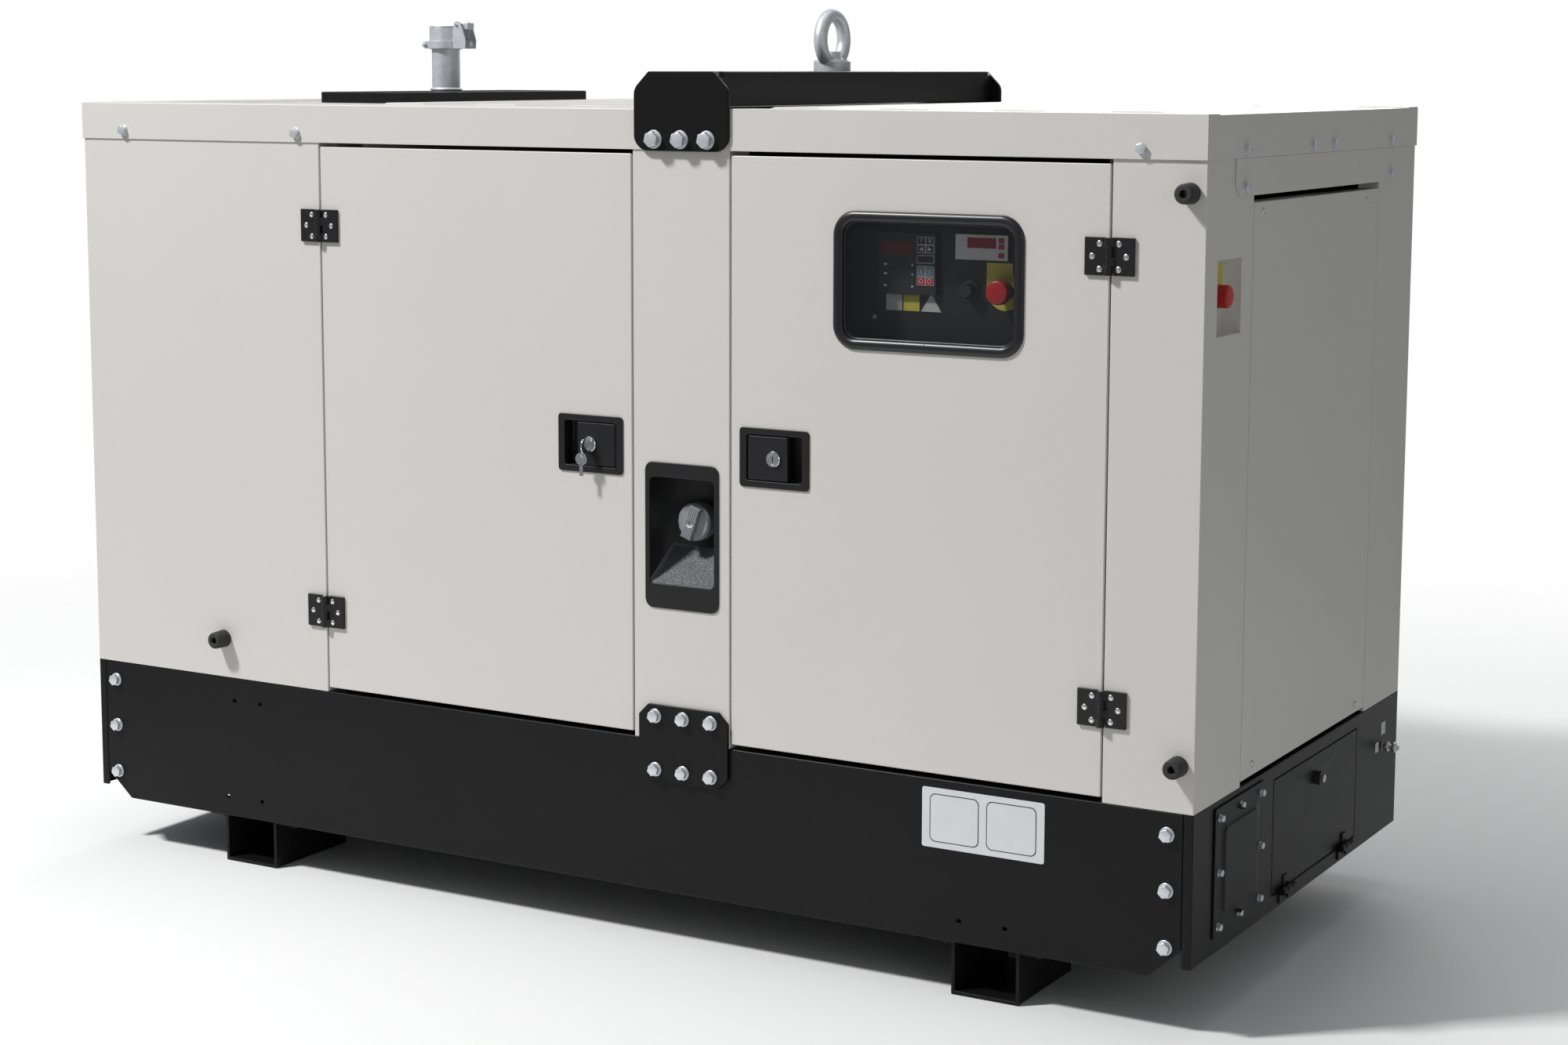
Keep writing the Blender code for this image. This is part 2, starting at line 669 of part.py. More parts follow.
def column(name, side, material):
    """The hat-section column between the doors, with a flange behind each door's edge."""
    face = side * HALF_WIDTH
    left, right = SEAM_COLUMN_LEFT + MIDDLE_SEAM, SEAM_COLUMN_RIGHT - MIDDLE_SEAM
    path = [
        (left - LAP, face - side * RETURN),
        (left, face - side * RETURN),
        (left, face),
        (right, face),
        (right, face - side * RETURN),
        (right + LAP, face - side * RETURN),
    ]
    bm = bmesh.new()
    prism(bm, [folded(path if side > 0 else path[::-1], SHEET)], "Z", WALL_BOTTOM, WALL_TOP)
    return solid(name, bm, material)


def wall_tray(x0, x1, side, depth):
    """A flat panel folded to a tray: a door, or a bolted service panel."""
    face = side * HALF_WIDTH
    ends = sorted((face, face - side * depth))
    bm = bmesh.new()
    tray(bm, (x0, ends[0], DOOR_BOTTOM), (x1, ends[1], DOOR_TOP), SHEET, "Y", open_high=side < 0)
    return bm


def service_panel(name, x0, x1, material):
    """A rear service panel, held by screws to the wall flanges behind it."""
    solid(name, wall_tray(x0, x1, 1, RETURN - GAP), material)


def end_panel(name, end, top, material):
    """A flat panel, folded to a tray, between the two corner walls of an end."""
    x = end * HALF_LENGTH
    ends = sorted((x, x - end * (RETURN - GAP)))
    bm = bmesh.new()
    low = (ends[0], -HALF_END_PANEL + MIDDLE_SEAM, DOOR_BOTTOM)
    high = (ends[1], HALF_END_PANEL - MIDDLE_SEAM, top)
    tray(bm, low, high, SHEET, "X", open_high=end < 0)
    solid(name, bm, material)


def cross_plate(material):
    """The plate that ties the two right corner posts over the access panel."""
    x = HALF_LENGTH + GAP
    top, bottom = LIP_BOTTOM - GAP, LIP_BOTTOM - CROSS_PLATE_DROP
    centre = (0, (top + bottom) / 2)
    outline = chamfered(centre, (CROSS_PLATE, top - bottom), CROSS_PLATE_CHAMFER, 0.0005)
    bm = bmesh.new()
    prism(bm, [outline], "X", x, x + SHEET)
    obj = solid("end_cross_plate", bm, material)
    bolts = bmesh.new()
    for side in (-1, 1):
        bolt(bolts, (x + SHEET, side * (CROSS_PLATE / 2 - 0.035), bottom + 0.013), "X", 1, M10)
    add(obj, bolts)


# ---- Roof ----
def roof_cap(material):
    """The roof tray with its lips over the walls, its ribs, air slots, exhaust opening and lip bolts."""
    low = (-HALF_LENGTH - CAP_OVERHANG, -HALF_WIDTH - CAP_OVERHANG, LIP_BOTTOM)
    high = (HALF_LENGTH + CAP_OVERHANG, HALF_WIDTH + CAP_OVERHANG, ROOF_TOP)
    bm = bmesh.new()
    tray(bm, low, high, SHEET, "Z", open_high=False)
    obj = solid("roof_cap", bm, material)

    ribs = bmesh.new()
    half, long = RIB_WIDTH / 2, HALF_WIDTH - RIB_END
    for x in rib_places():
        sections = []
        for inset, z in ((0, ROOF_TOP - SHEET / 2), (0, ROOF_TOP), (0.008, ROOF_TOP + RIB_HEIGHT)):
            outline = rectangle(x - half + inset, -long + inset, x + half - inset, long - inset)
            sections.append([at("Z", p, q, z) for p, q in outline])
        loft(ribs, sections)
    add(obj, ribs)

    cutter = bmesh.new()
    half, long = SLOT[0] / 2, SLOT[1] / 2
    for i in range(SLOT_COUNT):
        x = -HALF_LENGTH + GRILLE_START + i * SLOT_PITCH
        for y in (-SLOT_ROW_PITCH, 0, SLOT_ROW_PITCH):
            block(cutter, (x - half, y - long, ROOF_TOP - 0.01), (x + half, y + long, ROOF_TOP + 0.01))
    opening = TAILPIPE_RADIUS + 0.020
    block(
        cutter,
        (TAILPIPE_X - opening, -COVER[1] / 2 + 0.05, ROOF_TOP - 0.01),
        (TAILPIPE_X + opening, COVER[1] / 2 - 0.05, ROOF_TOP + 0.01),
    )
    cut(obj, cutter)

    bolts = bmesh.new()
    front_rise, end_rise = LIP_BOLT_RISE
    for side in (-1, 1):
        for x in LIP_BOLTS_X:
            bolt(bolts, (x, side * (HALF_WIDTH + CAP_OVERHANG), LIP_BOTTOM + front_rise), "Y", side, M10)
        for y in LIP_BOLTS_Y:
            bolt(bolts, (side * (HALF_LENGTH + CAP_OVERHANG), y, LIP_BOTTOM + end_rise), "X", side, M10)
    add(obj, bolts)


def rib_places():
    """Rib centres from the right end, leaving out those under the beam, the cover and the air slots."""
    places = []
    x = HALF_LENGTH - 0.136
    while x > TAILPIPE_X + COVER_SHIFT + COVER[0] / 2 + RIB_WIDTH:
        if abs(x - LIFT_X) > BEAM_WIDTH / 2 + RIB_WIDTH / 2:
            places.append(x)
        x -= RIB_PITCH
    return places


def exhaust_cover(material):
    """The raised black cover round the tail pipe."""
    x = TAILPIPE_X + COVER_SHIFT
    low = (x - COVER[0] / 2, -COVER[1] / 2, ROOF_TOP + GAP)
    high = (x + COVER[0] / 2, COVER[1] / 2, ROOF_TOP + COVER[2])
    bm = bmesh.new()
    tray(bm, low, high, SHEET, "Z", open_high=False)
    obj = solid("exhaust_cover", bm, material)
    bm = bmesh.new()
    radius = TAILPIPE_RADIUS + GAP
    turned(bm, [(radius, high[2] - 0.01), (radius, high[2] + 0.01)], "Z", (TAILPIPE_X, 0), 16)
    cut(obj, bm)


def silencer(material):
    """The silencer under the roof, with its tail pipe and the rain cap's clamped collar."""
    axis = (0, ROOF_TOP - SHEET - 0.030 - SILENCER_RADIUS)
    start = TAILPIPE_X - 0.080
    r, length = SILENCER_RADIUS, SILENCER_LENGTH
    bm = bmesh.new()
    profile = [(0.6 * r, start), (r, start + 0.02), (r, start + length - 0.02), (0.6 * r, start + length)]
    turned(bm, profile, "X", axis, 16)
    obj = solid("exhaust_silencer", bm, material, smooth=True)
    bm = bmesh.new()
    outer, inner = TAILPIPE_RADIUS, TAILPIPE_RADIUS - TAILPIPE_WALL
    profile = [(outer, axis[1]), (outer, PIPE_TOP), (inner, PIPE_TOP), (inner, ROOF_TOP - 0.02)]
    turned(bm, profile, "Z", (TAILPIPE_X, 0), 16)
    add(obj, bm)

    collar = bmesh.new()
    low, high = PIPE_TOP + RAINCAP_STAND - RAINCAP_HEIGHT, PIPE_TOP + RAINCAP_STAND
    profile = [(RAINCAP_RADIUS, low), (RAINCAP_RADIUS, high), (inner + 0.0005, high), (inner + 0.0005, low)]
    turned(collar, profile, "Z", (TAILPIPE_X, 0), 16, closed=True)
    add(obj, collar)
    ears = bmesh.new()
    pivot = flap_pivot()
    edge = TAILPIPE_X + RAINCAP_RADIUS
    root, step, tip = edge - 0.006, edge + 0.001, pivot[0] + 0.006
    shoulder, crown = high - 0.001, pivot[1] + 0.006
    outline = [(root, high - 0.028), (tip, high - 0.020), (tip, crown)]
    outline += [(step, crown), (step, shoulder), (root, shoulder)]
    half = RAINCAP_EAR[1] / 2
    for y in (-RAINCAP_EAR[0], RAINCAP_EAR[0]):
        prism(ears, [outline], "Y", y - half, y + half)
    block(
        ears,
        (TAILPIPE_X - RAINCAP_RADIUS - 0.012, -0.007, low + 0.004),
        (TAILPIPE_X - RAINCAP_RADIUS + 0.003, 0.007, low + 0.016),
    )
    add(obj, ears)
    rod = bmesh.new()
    turned(rod, [(0.002, -RAINCAP_EAR[0]), (0.002, RAINCAP_EAR[0])], "Y", pivot, 8)
    add(obj, rod)


def flap_pivot():
    """The rain flap's hinge, along X and Z."""
    return (TAILPIPE_X + RAINCAP_RADIUS + 0.008, PIPE_TOP + RAINCAP_STAND + 0.004)


def raincap_flap(material):
    """The disc that closes the tail pipe, with its knuckle and counterweight."""
    x, z = flap_pivot()
    rest = PIPE_TOP + RAINCAP_STAND + RUNNING
    bm = bmesh.new()
    turned(bm, [(RAINCAP_RADIUS, rest), (RAINCAP_RADIUS, rest + 0.002)], "Z", (TAILPIPE_X, 0), 16)
    obj = solid("raincap_flap", bm, material, origin=(x, 0, z))
    arm = bmesh.new()
    block(arm, (TAILPIPE_X - 0.010, -0.009, rest + 0.001), (x, 0.009, rest + 0.0032))
    radius, hole, half = RAINCAP_BARREL
    turned(arm, [(radius, -half), (radius, half)], "Y", (x, z), 10)
    block(arm, (x + 0.001, -0.0105, z - 0.008), (x + 0.020, 0.0105, z + 0.004))
    add(obj, arm)
    bore = bmesh.new()
    turned(bore, [(hole, -0.02), (hole, 0.02)], "Y", (x, z), 8)
    cut(obj, bore)


# ---- Lifting ----
def lifting_beam(material):
    """The inverted channel across the roof, whose end plates fold down and are bolted to the columns."""
    half = BEAM_WIDTH / 2
    reach = HALF_WIDTH + CAP_OVERHANG + GAP
    bm = bmesh.new()
    channel = half - BEAM_INSET
    path = [
        (LIFT_X + channel, ROOF_TOP + RIB_HEIGHT),
        (LIFT_X + channel, BEAM_TOP),
        (LIFT_X - channel, BEAM_TOP),
        (LIFT_X - channel, ROOF_TOP + RIB_HEIGHT),
    ]
    prism(bm, [folded(path[::-1], BEAM_PLATE)], "Y", -reach - 0.001, reach + 0.001)
    obj = solid("lifting_beam", bm, material)
    for side in (-1, 1):
        plate = bmesh.new()
        centre = (LIFT_X, BEAM_TOP - BRACKET_DROP / 2)
        outline = chamfered(centre, (BEAM_WIDTH, BRACKET_DROP), BRACKET_CORNER, BRACKET_CHAMFER)
        prism(plate, [outline], "Y", side * reach, side * (reach + BRACKET_PLATE))
        add(obj, plate)
    trim = bmesh.new()
    for side in (-1, 1):
        for edge in (-1, 1):
            x = LIFT_X + edge * half
            corner = [
                (x + edge * 0.01, BEAM_TOP + 0.01),
                (x - edge * BRACKET_CHAMFER, BEAM_TOP + 0.01),
                (x - edge * BRACKET_CHAMFER, BEAM_TOP),
                (x, BEAM_TOP - BRACKET_CHAMFER),
                (x + edge * 0.01, BEAM_TOP - BRACKET_CHAMFER),
            ]
            prism(trim, [corner], "Y", side * (reach - 0.012), side * (reach + 0.02))
    cut(obj, trim)
    bolts = bmesh.new()
    pitch, rise = BRACKET_BOLTS
    for side in (-1, 1):
        for shift in (-pitch, 0, pitch):
            seat = (LIFT_X + shift, side * (reach + BRACKET_PLATE), BEAM_TOP - BRACKET_DROP + rise)
            bolt(bolts, seat, "Y", side, M16)
    add(obj, bolts)


def lifting_eye(material):
    """The forged eye screwed down on the beam; its ring stands across the beam's length."""
    centre = BEAM_TOP + GAP + EYE_HEIGHT - EYE_RING - EYE_WIRE
    sections = []
    for i in range(20):
        a = 2 * math.pi * i / 20
        ring = []
        for j in range(8):
            b = 2 * math.pi * (j + 0.5) / 8
            reach = EYE_RING + EYE_WIRE * math.cos(b)
            ring.append((LIFT_X + EYE_WIRE * math.sin(b), reach * math.cos(a), centre + reach * math.sin(a)))
        sections.append(ring)
    bm = bmesh.new()
    loft(bm, sections, closed=True)
    obj = solid("lifting_eye", bm, material, smooth=True)
    collar = bmesh.new()
    radius, height = EYE_COLLAR
    base = BEAM_TOP + GAP
    profile = [(radius, base), (radius, base + 0.5 * height), (0.55 * radius, base + height)]
    turned(collar, profile, "Z", (LIFT_X, 0), 14)
    add(obj, collar)


def tie_plate(name, side, material):
    """The plate that bolts a column to its rail."""
    width, height, thick = TIE_PLATE
    face = side * (HALF_WIDTH + GAP)
    centre = (LIFT_X, BASE_TOP - TIE_DROP)
    bm = bmesh.new()
    prism(bm, [chamfered(centre, (width, height), TIE_CHAMFER, TIE_CHAMFER)], "Y", face, face + side * thick)
    obj = solid(name, bm, material)
    bolts = bmesh.new()
    along, up = TIE_BOLTS
    for p in (-along, 0, along):
        for q in (-up, up):
            bolt(bolts, (centre[0] + p, face + side * thick, centre[1] + q), "Y", side, M12)
    add(obj, bolts)


# ---- Doors and their hardware ----
def knuckle_outline(axis, reach, away, side):
    """A hinge barrel with the strap that joins it to its leaf, seen along the pin."""
    inner, outer = AXIS_PROUD - GAP - 0.0005, AXIS_PROUD - LEAF[2] + 0.0016
    start = math.asin(min(1, inner / KNUCKLE_RADIUS))
    end = math.asin(outer / KNUCKLE_RADIUS)
    points = []
    for i in range(10):
        a = (math.pi - start) + i / 9 * (2 * math.pi - (math.pi - start) - end)
        points.append((KNUCKLE_RADIUS * math.cos(a), KNUCKLE_RADIUS * math.sin(a)))
    points += [(reach, outer), (reach, inner)]
    return [(axis[0] + away * p, axis[1] - side * q) for p, q in points]


def hinge_leaf(name, seam, level, away, first, material, parent=None, pinned=False):
    """One leaf of a hinge, with every second barrel of four; away is its side of the pin."""
    length, height, thick = LEAF
    axis = (seam, -HALF_WIDTH - AXIS_PROUD)
    near = KNUCKLE_RADIUS + 0.0007
    x = sorted((seam + away * near, seam + away * length))
    low = level - height / 2
    bm = bmesh.new()
    block(bm, (x[0], -HALF_WIDTH - GAP - thick, low), (x[1], -HALF_WIDTH - GAP, low + height))
    obj = solid(name, bm, material, origin=(*axis, level), parent=parent)
    barrels = bmesh.new()
    quarter = height / 4
    bore = [(axis[0] + PIN_BORE * math.cos(a), axis[1] + PIN_BORE * math.sin(a)) for a in circle(8)]
    outline = knuckle_outline(axis, near + 0.004, away, -1)
    for k in (first, first + 2):
        prism(barrels, [outline, bore], "Z", low + k * quarter + GAP / 2, low + (k + 1) * quarter - GAP / 2)
    add(obj, barrels)
    if pinned:
        pin = bmesh.new()
        turned(pin, [(PIN_RADIUS, low + 0.001), (PIN_RADIUS, low + height - 0.001)], "Z", axis, 8)
        add(obj, pin)
        collar = bmesh.new()
        start = low + (first + 2) * quarter
        turned(collar, [(PIN_BORE + 0.001, start + 0.002), (PIN_BORE + 0.001, start + 0.010)], "Z", axis, 8)
        add(obj, collar)


def circle(steps):
    return [2 * math.pi * i / steps for i in range(steps)]


def hinge_levels():
    return {"upper": ROOF_TOP - HINGE_FROM_TOP, "lower": BASE_TOP + HINGE_FROM_BASE}


def door(name, hinge, edge, material):
    """A front door. Its origin is on its hinge axis."""
    away = 1 if edge > hinge else -1
    x = sorted((hinge + away * MIDDLE_SEAM, edge - away * MIDDLE_SEAM))
    bm = wall_tray(x[0], x[1], -1, DOOR_DEPTH)
    obj = solid(name, bm, material, origin=(hinge, -HALF_WIDTH - AXIS_PROUD, DOOR_BOTTOM))
    cutter = bmesh.new()
    width, height = DISH_BOWL[0] + 2 * (DISH_WALL + GAP), DISH_BOWL[1] + 2 * (DISH_WALL + GAP)
    centre = latch_centre(edge, away)
    block(
        cutter,
        (centre[0] - width / 2, -HALF_WIDTH - 0.01, centre[1] - height / 2),
        (centre[0] + width / 2, -HALF_WIDTH + 0.01, centre[1] + height / 2),
    )
    cut(obj, cutter)
    return obj


def latch_centre(edge, away):
    return (edge - away * LATCH_INSET, BASE_TOP + LATCH_RISE)


def latch_dish(name, centre, parent, material):
    """The flanged dish that the paddle lies in."""
    face = -HALF_WIDTH - GAP
    width, height, proud = DISH
    bowl = DISH_BOWL
    outer = (bowl[0] + 2 * DISH_WALL, bowl[1] + 2 * DISH_WALL)
    floor = face + bowl[2]
    sections = []
    for size, radius, y in (
        (bowl[:2], 0.004, floor - DISH_WALL),
        (bowl[:2], 0.004, face - proud),
        ((width, height), 0.006, face - proud),
        ((width, height), 0.006, face),
        (outer, 0.0005, face),
        (outer, 0.0005, floor),
    ):
        sections.append([at("Y", p, q, y) for p, q in rounded(centre, size, radius)])
    bm = bmesh.new()
    loft(bm, sections)
    solid(name, bm, material, origin=(centre[0], face, centre[1]), parent=parent)


def latch_paddle(name, centre, away, parent, material):
    """The paddle that turns on an upright axis at its far end; its free end faces the finger pocket."""
    face = -HALF_WIDTH - GAP - DISH[2]
    radius = PADDLE_THICK / 2
    pivot = (centre[0] + away * (DISH_BOWL[0] / 2 - radius - RUNNING), face + radius)
    half = DISH_BOWL[1] / 2 - PADDLE_SIDE_GAP
    points = [(-away * PADDLE_REACH, radius), (-away * PADDLE_REACH, -radius)]
    for i in range(7):
        a = -math.pi / 2 + math.pi * i / 6
        points.append((away * radius * math.cos(a), radius * math.sin(a)))
    outline = [(pivot[0] + p, pivot[1] + q) for p, q in points]
    bm = bmesh.new()
    prism(bm, [outline], "Z", centre[1] - half, centre[1] + half)
    obj = solid(name, bm, material, origin=(*pivot, centre[1]), parent=parent)
    pin = bmesh.new()
    reach = DISH_BOWL[1] / 2 - GAP
    turned(pin, [(PADDLE_PIN, centre[1] - reach), (PADDLE_PIN, centre[1] + reach)], "Z", pivot, 8)
    add(obj, pin)
    lock = bmesh.new()
    turned(lock, [(LOCK[0], face - LOCK[1]), (LOCK[0], face + 0.002)], "Y", (centre[0], centre[1]), 12)
    add(obj, lock)


# ---- Control window, cubicle and emergency stops ----
def window_centre():
    return (SEAM_POST - WINDOW_CENTRE[0], DOOR_TOP - WINDOW_CENTRE[1])


def window_hole(door_obj):
    size = [side - 2 * SEAL_GRIP for side in WINDOW]
    bm = bmesh.new()
    outline = rounded(window_centre(), size, WINDOW_RADIUS - SEAL_GRIP, 4)
    prism(bm, [outline], "Y", -HALF_WIDTH - 0.01, -HALF_WIDTH + 0.01)
    cut(door_obj, bm)


def window_seal(parent, material):
    """The rubber frame that grips the door's edge on its outside and the pane on its inside."""
    face = -HALF_WIDTH
    centre = window_centre()
    grip, lip = SEAL_GRIP + GAP, SEAL_FACE
    pane_front, pane_back = face - GAP - 0.001, face - GAP - 0.001 + PANE + 2 * GAP
    sheet_back = face + SHEET + GAP
    back = sheet_back + 0.0043
    steps = (
        (0, face - GAP),
        (0, face - GAP - SEAL_PROUD),
        (lip, face - GAP - SEAL_PROUD),
        (lip, pane_front),
        (lip - SEAL_BITE, pane_front),
        (lip - SEAL_BITE, pane_back),
        (lip, pane_back),
        (lip, back),
        (0.002, back),
        (0.002, sheet_back),
        (grip, sheet_back),
        (grip, face - GAP),
    )
    sections = []
    for inset, y in steps:
        size = [side - 2 * inset for side in WINDOW]
        sections.append([at("Y", p, q, y) for p, q in rounded(centre, size, WINDOW_RADIUS - inset, 4)])
    bm = bmesh.new()
    loft(bm, sections, closed=True)
    solid("window_seal", bm, material, origin=(centre[0], face, centre[1]), parent=parent, smooth=True)


def window_pane(parent, material):
    inset = SEAL_FACE - SEAL_BITE + GAP
    size = [side - 2 * inset for side in WINDOW]
    start = -HALF_WIDTH - 0.001
    bm = bmesh.new()
    outline = rounded(window_centre(), size, WINDOW_RADIUS - inset, 4)
    prism(bm, [outline], "Y", start, start + PANE)
    solid("window_pane", bm, material, origin=(window_centre()[0], start, window_centre()[1]), parent=parent)


def cubicle_box():
    """Lowest and highest corners of the control cubicle."""
    right = window_centre()[0] + CUBICLE[0] / 2
    front = -HALF_WIDTH + CUBICLE_BEHIND
    return (
        (right - CUBICLE[0], front, DECK_TOP + GAP),
        (right, front + CUBICLE[1], ROOF_TOP - CUBICLE_TOP),
    )


def cubicle_stop():
    low, high = cubicle_box()
    return (high[0] - ESTOP_PLACE[0], high[2] - ESTOP_PLACE[1])


def control_cubicle(material):
    """The cubicle on the deck behind the window, with the bore for its emergency stop."""
    low, high = cubicle_box()
    bm = bmesh.new()
    block(bm, low, high)
    obj = solid("control_cubicle", bm, material)
    bore = bmesh.new()
    radius = ESTOP_STEM + RUNNING
    turned(bore, [(radius, low[1] - 0.01), (radius, low[1] + 0.024)], "Y", cubicle_stop(), 12)
    cut(obj, bore)


def emergency_stop(name, along, seat, centre, sign, material):
    """A mushroom button on its stem; sign points out of the panel it stands on."""
    top = seat + sign * ESTOP_HEIGHT
    under = top - sign * 0.016
    stem = ESTOP_STEM
    profile = [
        (stem, seat - sign * 0.014),
        (stem, under),
        (0.82 * ESTOP_RADIUS, under),
        (ESTOP_RADIUS, under + sign * 0.003),
        (ESTOP_RADIUS, top - sign * 0.004),
        (0.75 * ESTOP_RADIUS, top),
    ]
    bm = bmesh.new()
    turned(bm, profile, along, centre, 14)
    solid(name, bm, material, origin=at(along, *centre, seat), smooth=True)


# ---- Filler recess ----
def filler_place():
    return ((SEAM_COLUMN_LEFT + SEAM_COLUMN_RIGHT) / 2 + FILLER_SHIFT, BASE_TOP + FILLER_CENTRE)


def filler_cap_place():
    x, z = filler_place()
    return (x, z + FILLER_BACK_LIFT - CAP_DROP)


def filler_recess(col, material):
    """The moulded recess in the front column: its floor slopes down to the mouth."""
    x, z = filler_place()
    face = -HALF_WIDTH - GAP
    mouth, back = FILLER_MOUTH, FILLER_BACK
    t = FILLER_WALL
    outer_mouth = [side + 2 * t for side in mouth]
    outer_back = [side + 2 * t for side in back]
    low, high = z + FILLER_MOUTH_LIFT, z + FILLER_BACK_LIFT
    sections = []
    for centre, size, radius, y in (
        ((x, high), back, 0.006, face + FILLER_DEPTH),
        ((x, low), mouth, 0.008, face),
        ((x, low), mouth, 0.008, face - FILLER_PROUD),
        ((x, z), FILLER, FILLER_RADIUS, face - FILLER_PROUD),
        ((x, z), FILLER, FILLER_RADIUS, face),
        ((x, low), outer_mouth, 0.010, face),
        ((x, high), outer_back, 0.008, face + FILLER_DEPTH + t),
    ):
        sections.append([at("Y", p, q, y) for p, q in rounded(centre, size, radius)])
    bm = bmesh.new()
    loft(bm, sections)
    solid("filler_recess", bm, material)
    cutter = bmesh.new()
    size = [side + 2 * GAP for side in outer_mouth]
    prism(cutter, [rounded((x, low), size, 0.010)], "Y", -HALF_WIDTH - 0.01, -HALF_WIDTH + 0.01)
    cut(col, cutter)


def filler_cap(material):
    x, z = filler_cap_place()
    back = -HALF_WIDTH - GAP + FILLER_DEPTH - GAP
    front = back - CAP_DEPTH
    bm = bmesh.new()
    profile = [(CAP_RADIUS, back), (CAP_RADIUS, front + 0.004), (CAP_RADIUS - 0.004, front)]
    turned(bm, profile, "Y", (x, z), 16)
    obj = solid("filler_cap", bm, material, origin=(x, back, z), smooth=True)
    grip = bmesh.new()
    long, wide, high = CAP_GRIP
    corners = [(wide / 2, long / 2), (-wide / 2, long / 2), (-wide / 2, -long / 2), (wide / 2, -long / 2)]
    lean = [(math.cos(CAP_GRIP_LEAN), -math.sin(CAP_GRIP_LEAN)), (math.sin(CAP_GRIP_LEAN), math.cos(CAP_GRIP_LEAN))]
    outline = [(x + a * lean[0][0] + b * lean[1][0], z + a * lean[0][1] + b * lean[1][1]) for a, b in corners]
    prism(grip, [outline], "Y", front - high, front + 0.002)
    add(obj, grip)


def neck_foot():
    """Where the filler neck meets the tank, along X and Y."""
    return (filler_cap_place()[0], -HALF_WIDTH + FILLER_DEPTH + 0.075)


def fuel_tank(material):
    """The tank under the deck, with the neck that rises to the back of the filler recess."""
    length, width, height = TANK
    top = DECK_TOP - PLATE - GAP
    bm = bmesh.new()
    block(bm, (TANK_X - length / 2, -width / 2, top - height), (TANK_X + length / 2, width / 2, top))
    obj = solid("fuel_tank", bm, material)
    x, z = filler_cap_place()
    y = neck_foot()[1]
    r = NECK_RADIUS
    wall_back = -HALF_WIDTH - GAP + FILLER_DEPTH + FILLER_WALL + GAP
    riser = bmesh.new()
    turned(riser, [(r, top - 0.010), (r, z + r)], "Z", (x, y), 12)
    add(obj, riser)
    spout = bmesh.new()
    turned(spout, [(r - 0.001, wall_back), (r - 0.001, y)], "Y", (x, z), 12)
    add(obj, spout)


# ---- Buffers ----
def rubber_buffer(name, x, level, material):
    """A conical rubber buffer, with a bore at its tip, that stops the opened door."""
    face = -HALF_WIDTH - GAP
    tip = face - BUFFER_LENGTH
    bore, depth = BUFFER_BORE
    profile = [
        (BUFFER_BASE, face),
        (BUFFER_TIP, tip + 0.003),
        (BUFFER_TIP - 0.003, tip),
        (bore, tip),
        (bore, tip + depth),
    ]
    bm = bmesh.new()
    turned(bm, profile, "Y", (x, BASE_TOP + level), 14)
    solid(name, bm, material, smooth=True)


# ---- Engine room ----
def engine(material):
    """The engine: crankcase, sump, head, feet on the deck, and the stub that carries the fan."""
    length, width, height = ENGINE
    foot = DECK_TOP + GAP
    low, high = ENGINE_X - length / 2, ENGINE_X + length / 2
    bm = bmesh.new()
    top = foot + MOUNT_HEIGHT + height
    block(bm, (low, -width / 2, foot + MOUNT_HEIGHT + 0.08), (high, width / 2, top - 0.12))
    obj = solid("engine_block", bm, material)
    for low_corner, high_corner in (
        ((low + 0.05, -width / 3, foot + MOUNT_HEIGHT), (high - 0.08, width / 3, foot + MOUNT_HEIGHT + 0.1)),
        ((low + 0.03, -width / 3.4, foot + 0.40), (high - 0.05, width / 3.4, top)),
    ):
        bm = bmesh.new()
        block(bm, low_corner, high_corner)
        add(obj, bm)
    for x in (low + 0.10, high - 0.10):
        for side in (-1, 1):
            bm = bmesh.new()
            y = side * (width / 2 + 0.020)
            turned(bm, [(0.030, foot), (0.030, foot + MOUNT_HEIGHT)], "Z", (x, y), 12)
            add(obj, bm)
            bm = bmesh.new()
            ends = sorted((side * (width / 2 - 0.02), side * (width / 2 + 0.050)))
            block(
                bm,
                (x - 0.04, ends[0], foot + MOUNT_HEIGHT - 0.002),
                (x + 0.04, ends[1], foot + MOUNT_HEIGHT + 0.09),
            )
            add(obj, bm)
    bm = bmesh.new()
    turned(bm, [(FAN_STUB, low - 0.001 - FAN_GAP - FAN_WIDTH), (FAN_STUB, low + 0.01)], "X", fan_axis(), 12)
    add(obj, bm)


def fan_axis():
    return (0, DECK_TOP + SHAFT_HEIGHT + FAN_RISE)


def cooling_fan(material):
    """The fan on the engine's stub: a hub with set blades."""
    rear = ENGINE_X - ENGINE[0] / 2 - FAN_GAP
    centre = fan_axis()
    bm = bmesh.new()
    bore = FAN_STUB + RUNNING
    profile = [(FAN_HUB, rear), (FAN_HUB, rear - FAN_WIDTH), (bore, rear - FAN_WIDTH), (bore, rear)]
    turned(bm, profile, "X", centre, 18, closed=True)
    obj = solid("cooling_fan", bm, material, origin=at("X", *centre, rear))
    middle = rear - FAN_WIDTH / 2
    for i in range(FAN_BLADES):
        blade = bmesh.new()
        block(blade, (-0.018, FAN_HUB - 0.004, -0.0015), (0.018, FAN_RADIUS, 0.0015))
        pitch = Matrix.Rotation(math.radians(35), 4, "Y")
        round_hub = Matrix.Rotation(2 * math.pi * i / FAN_BLADES, 4, "X")
        spin = Matrix.Translation((middle, *centre)) @ round_hub @ pitch
        bmesh.ops.transform(blade, matrix=spin, verts=blade.verts)
        add(obj, blade)


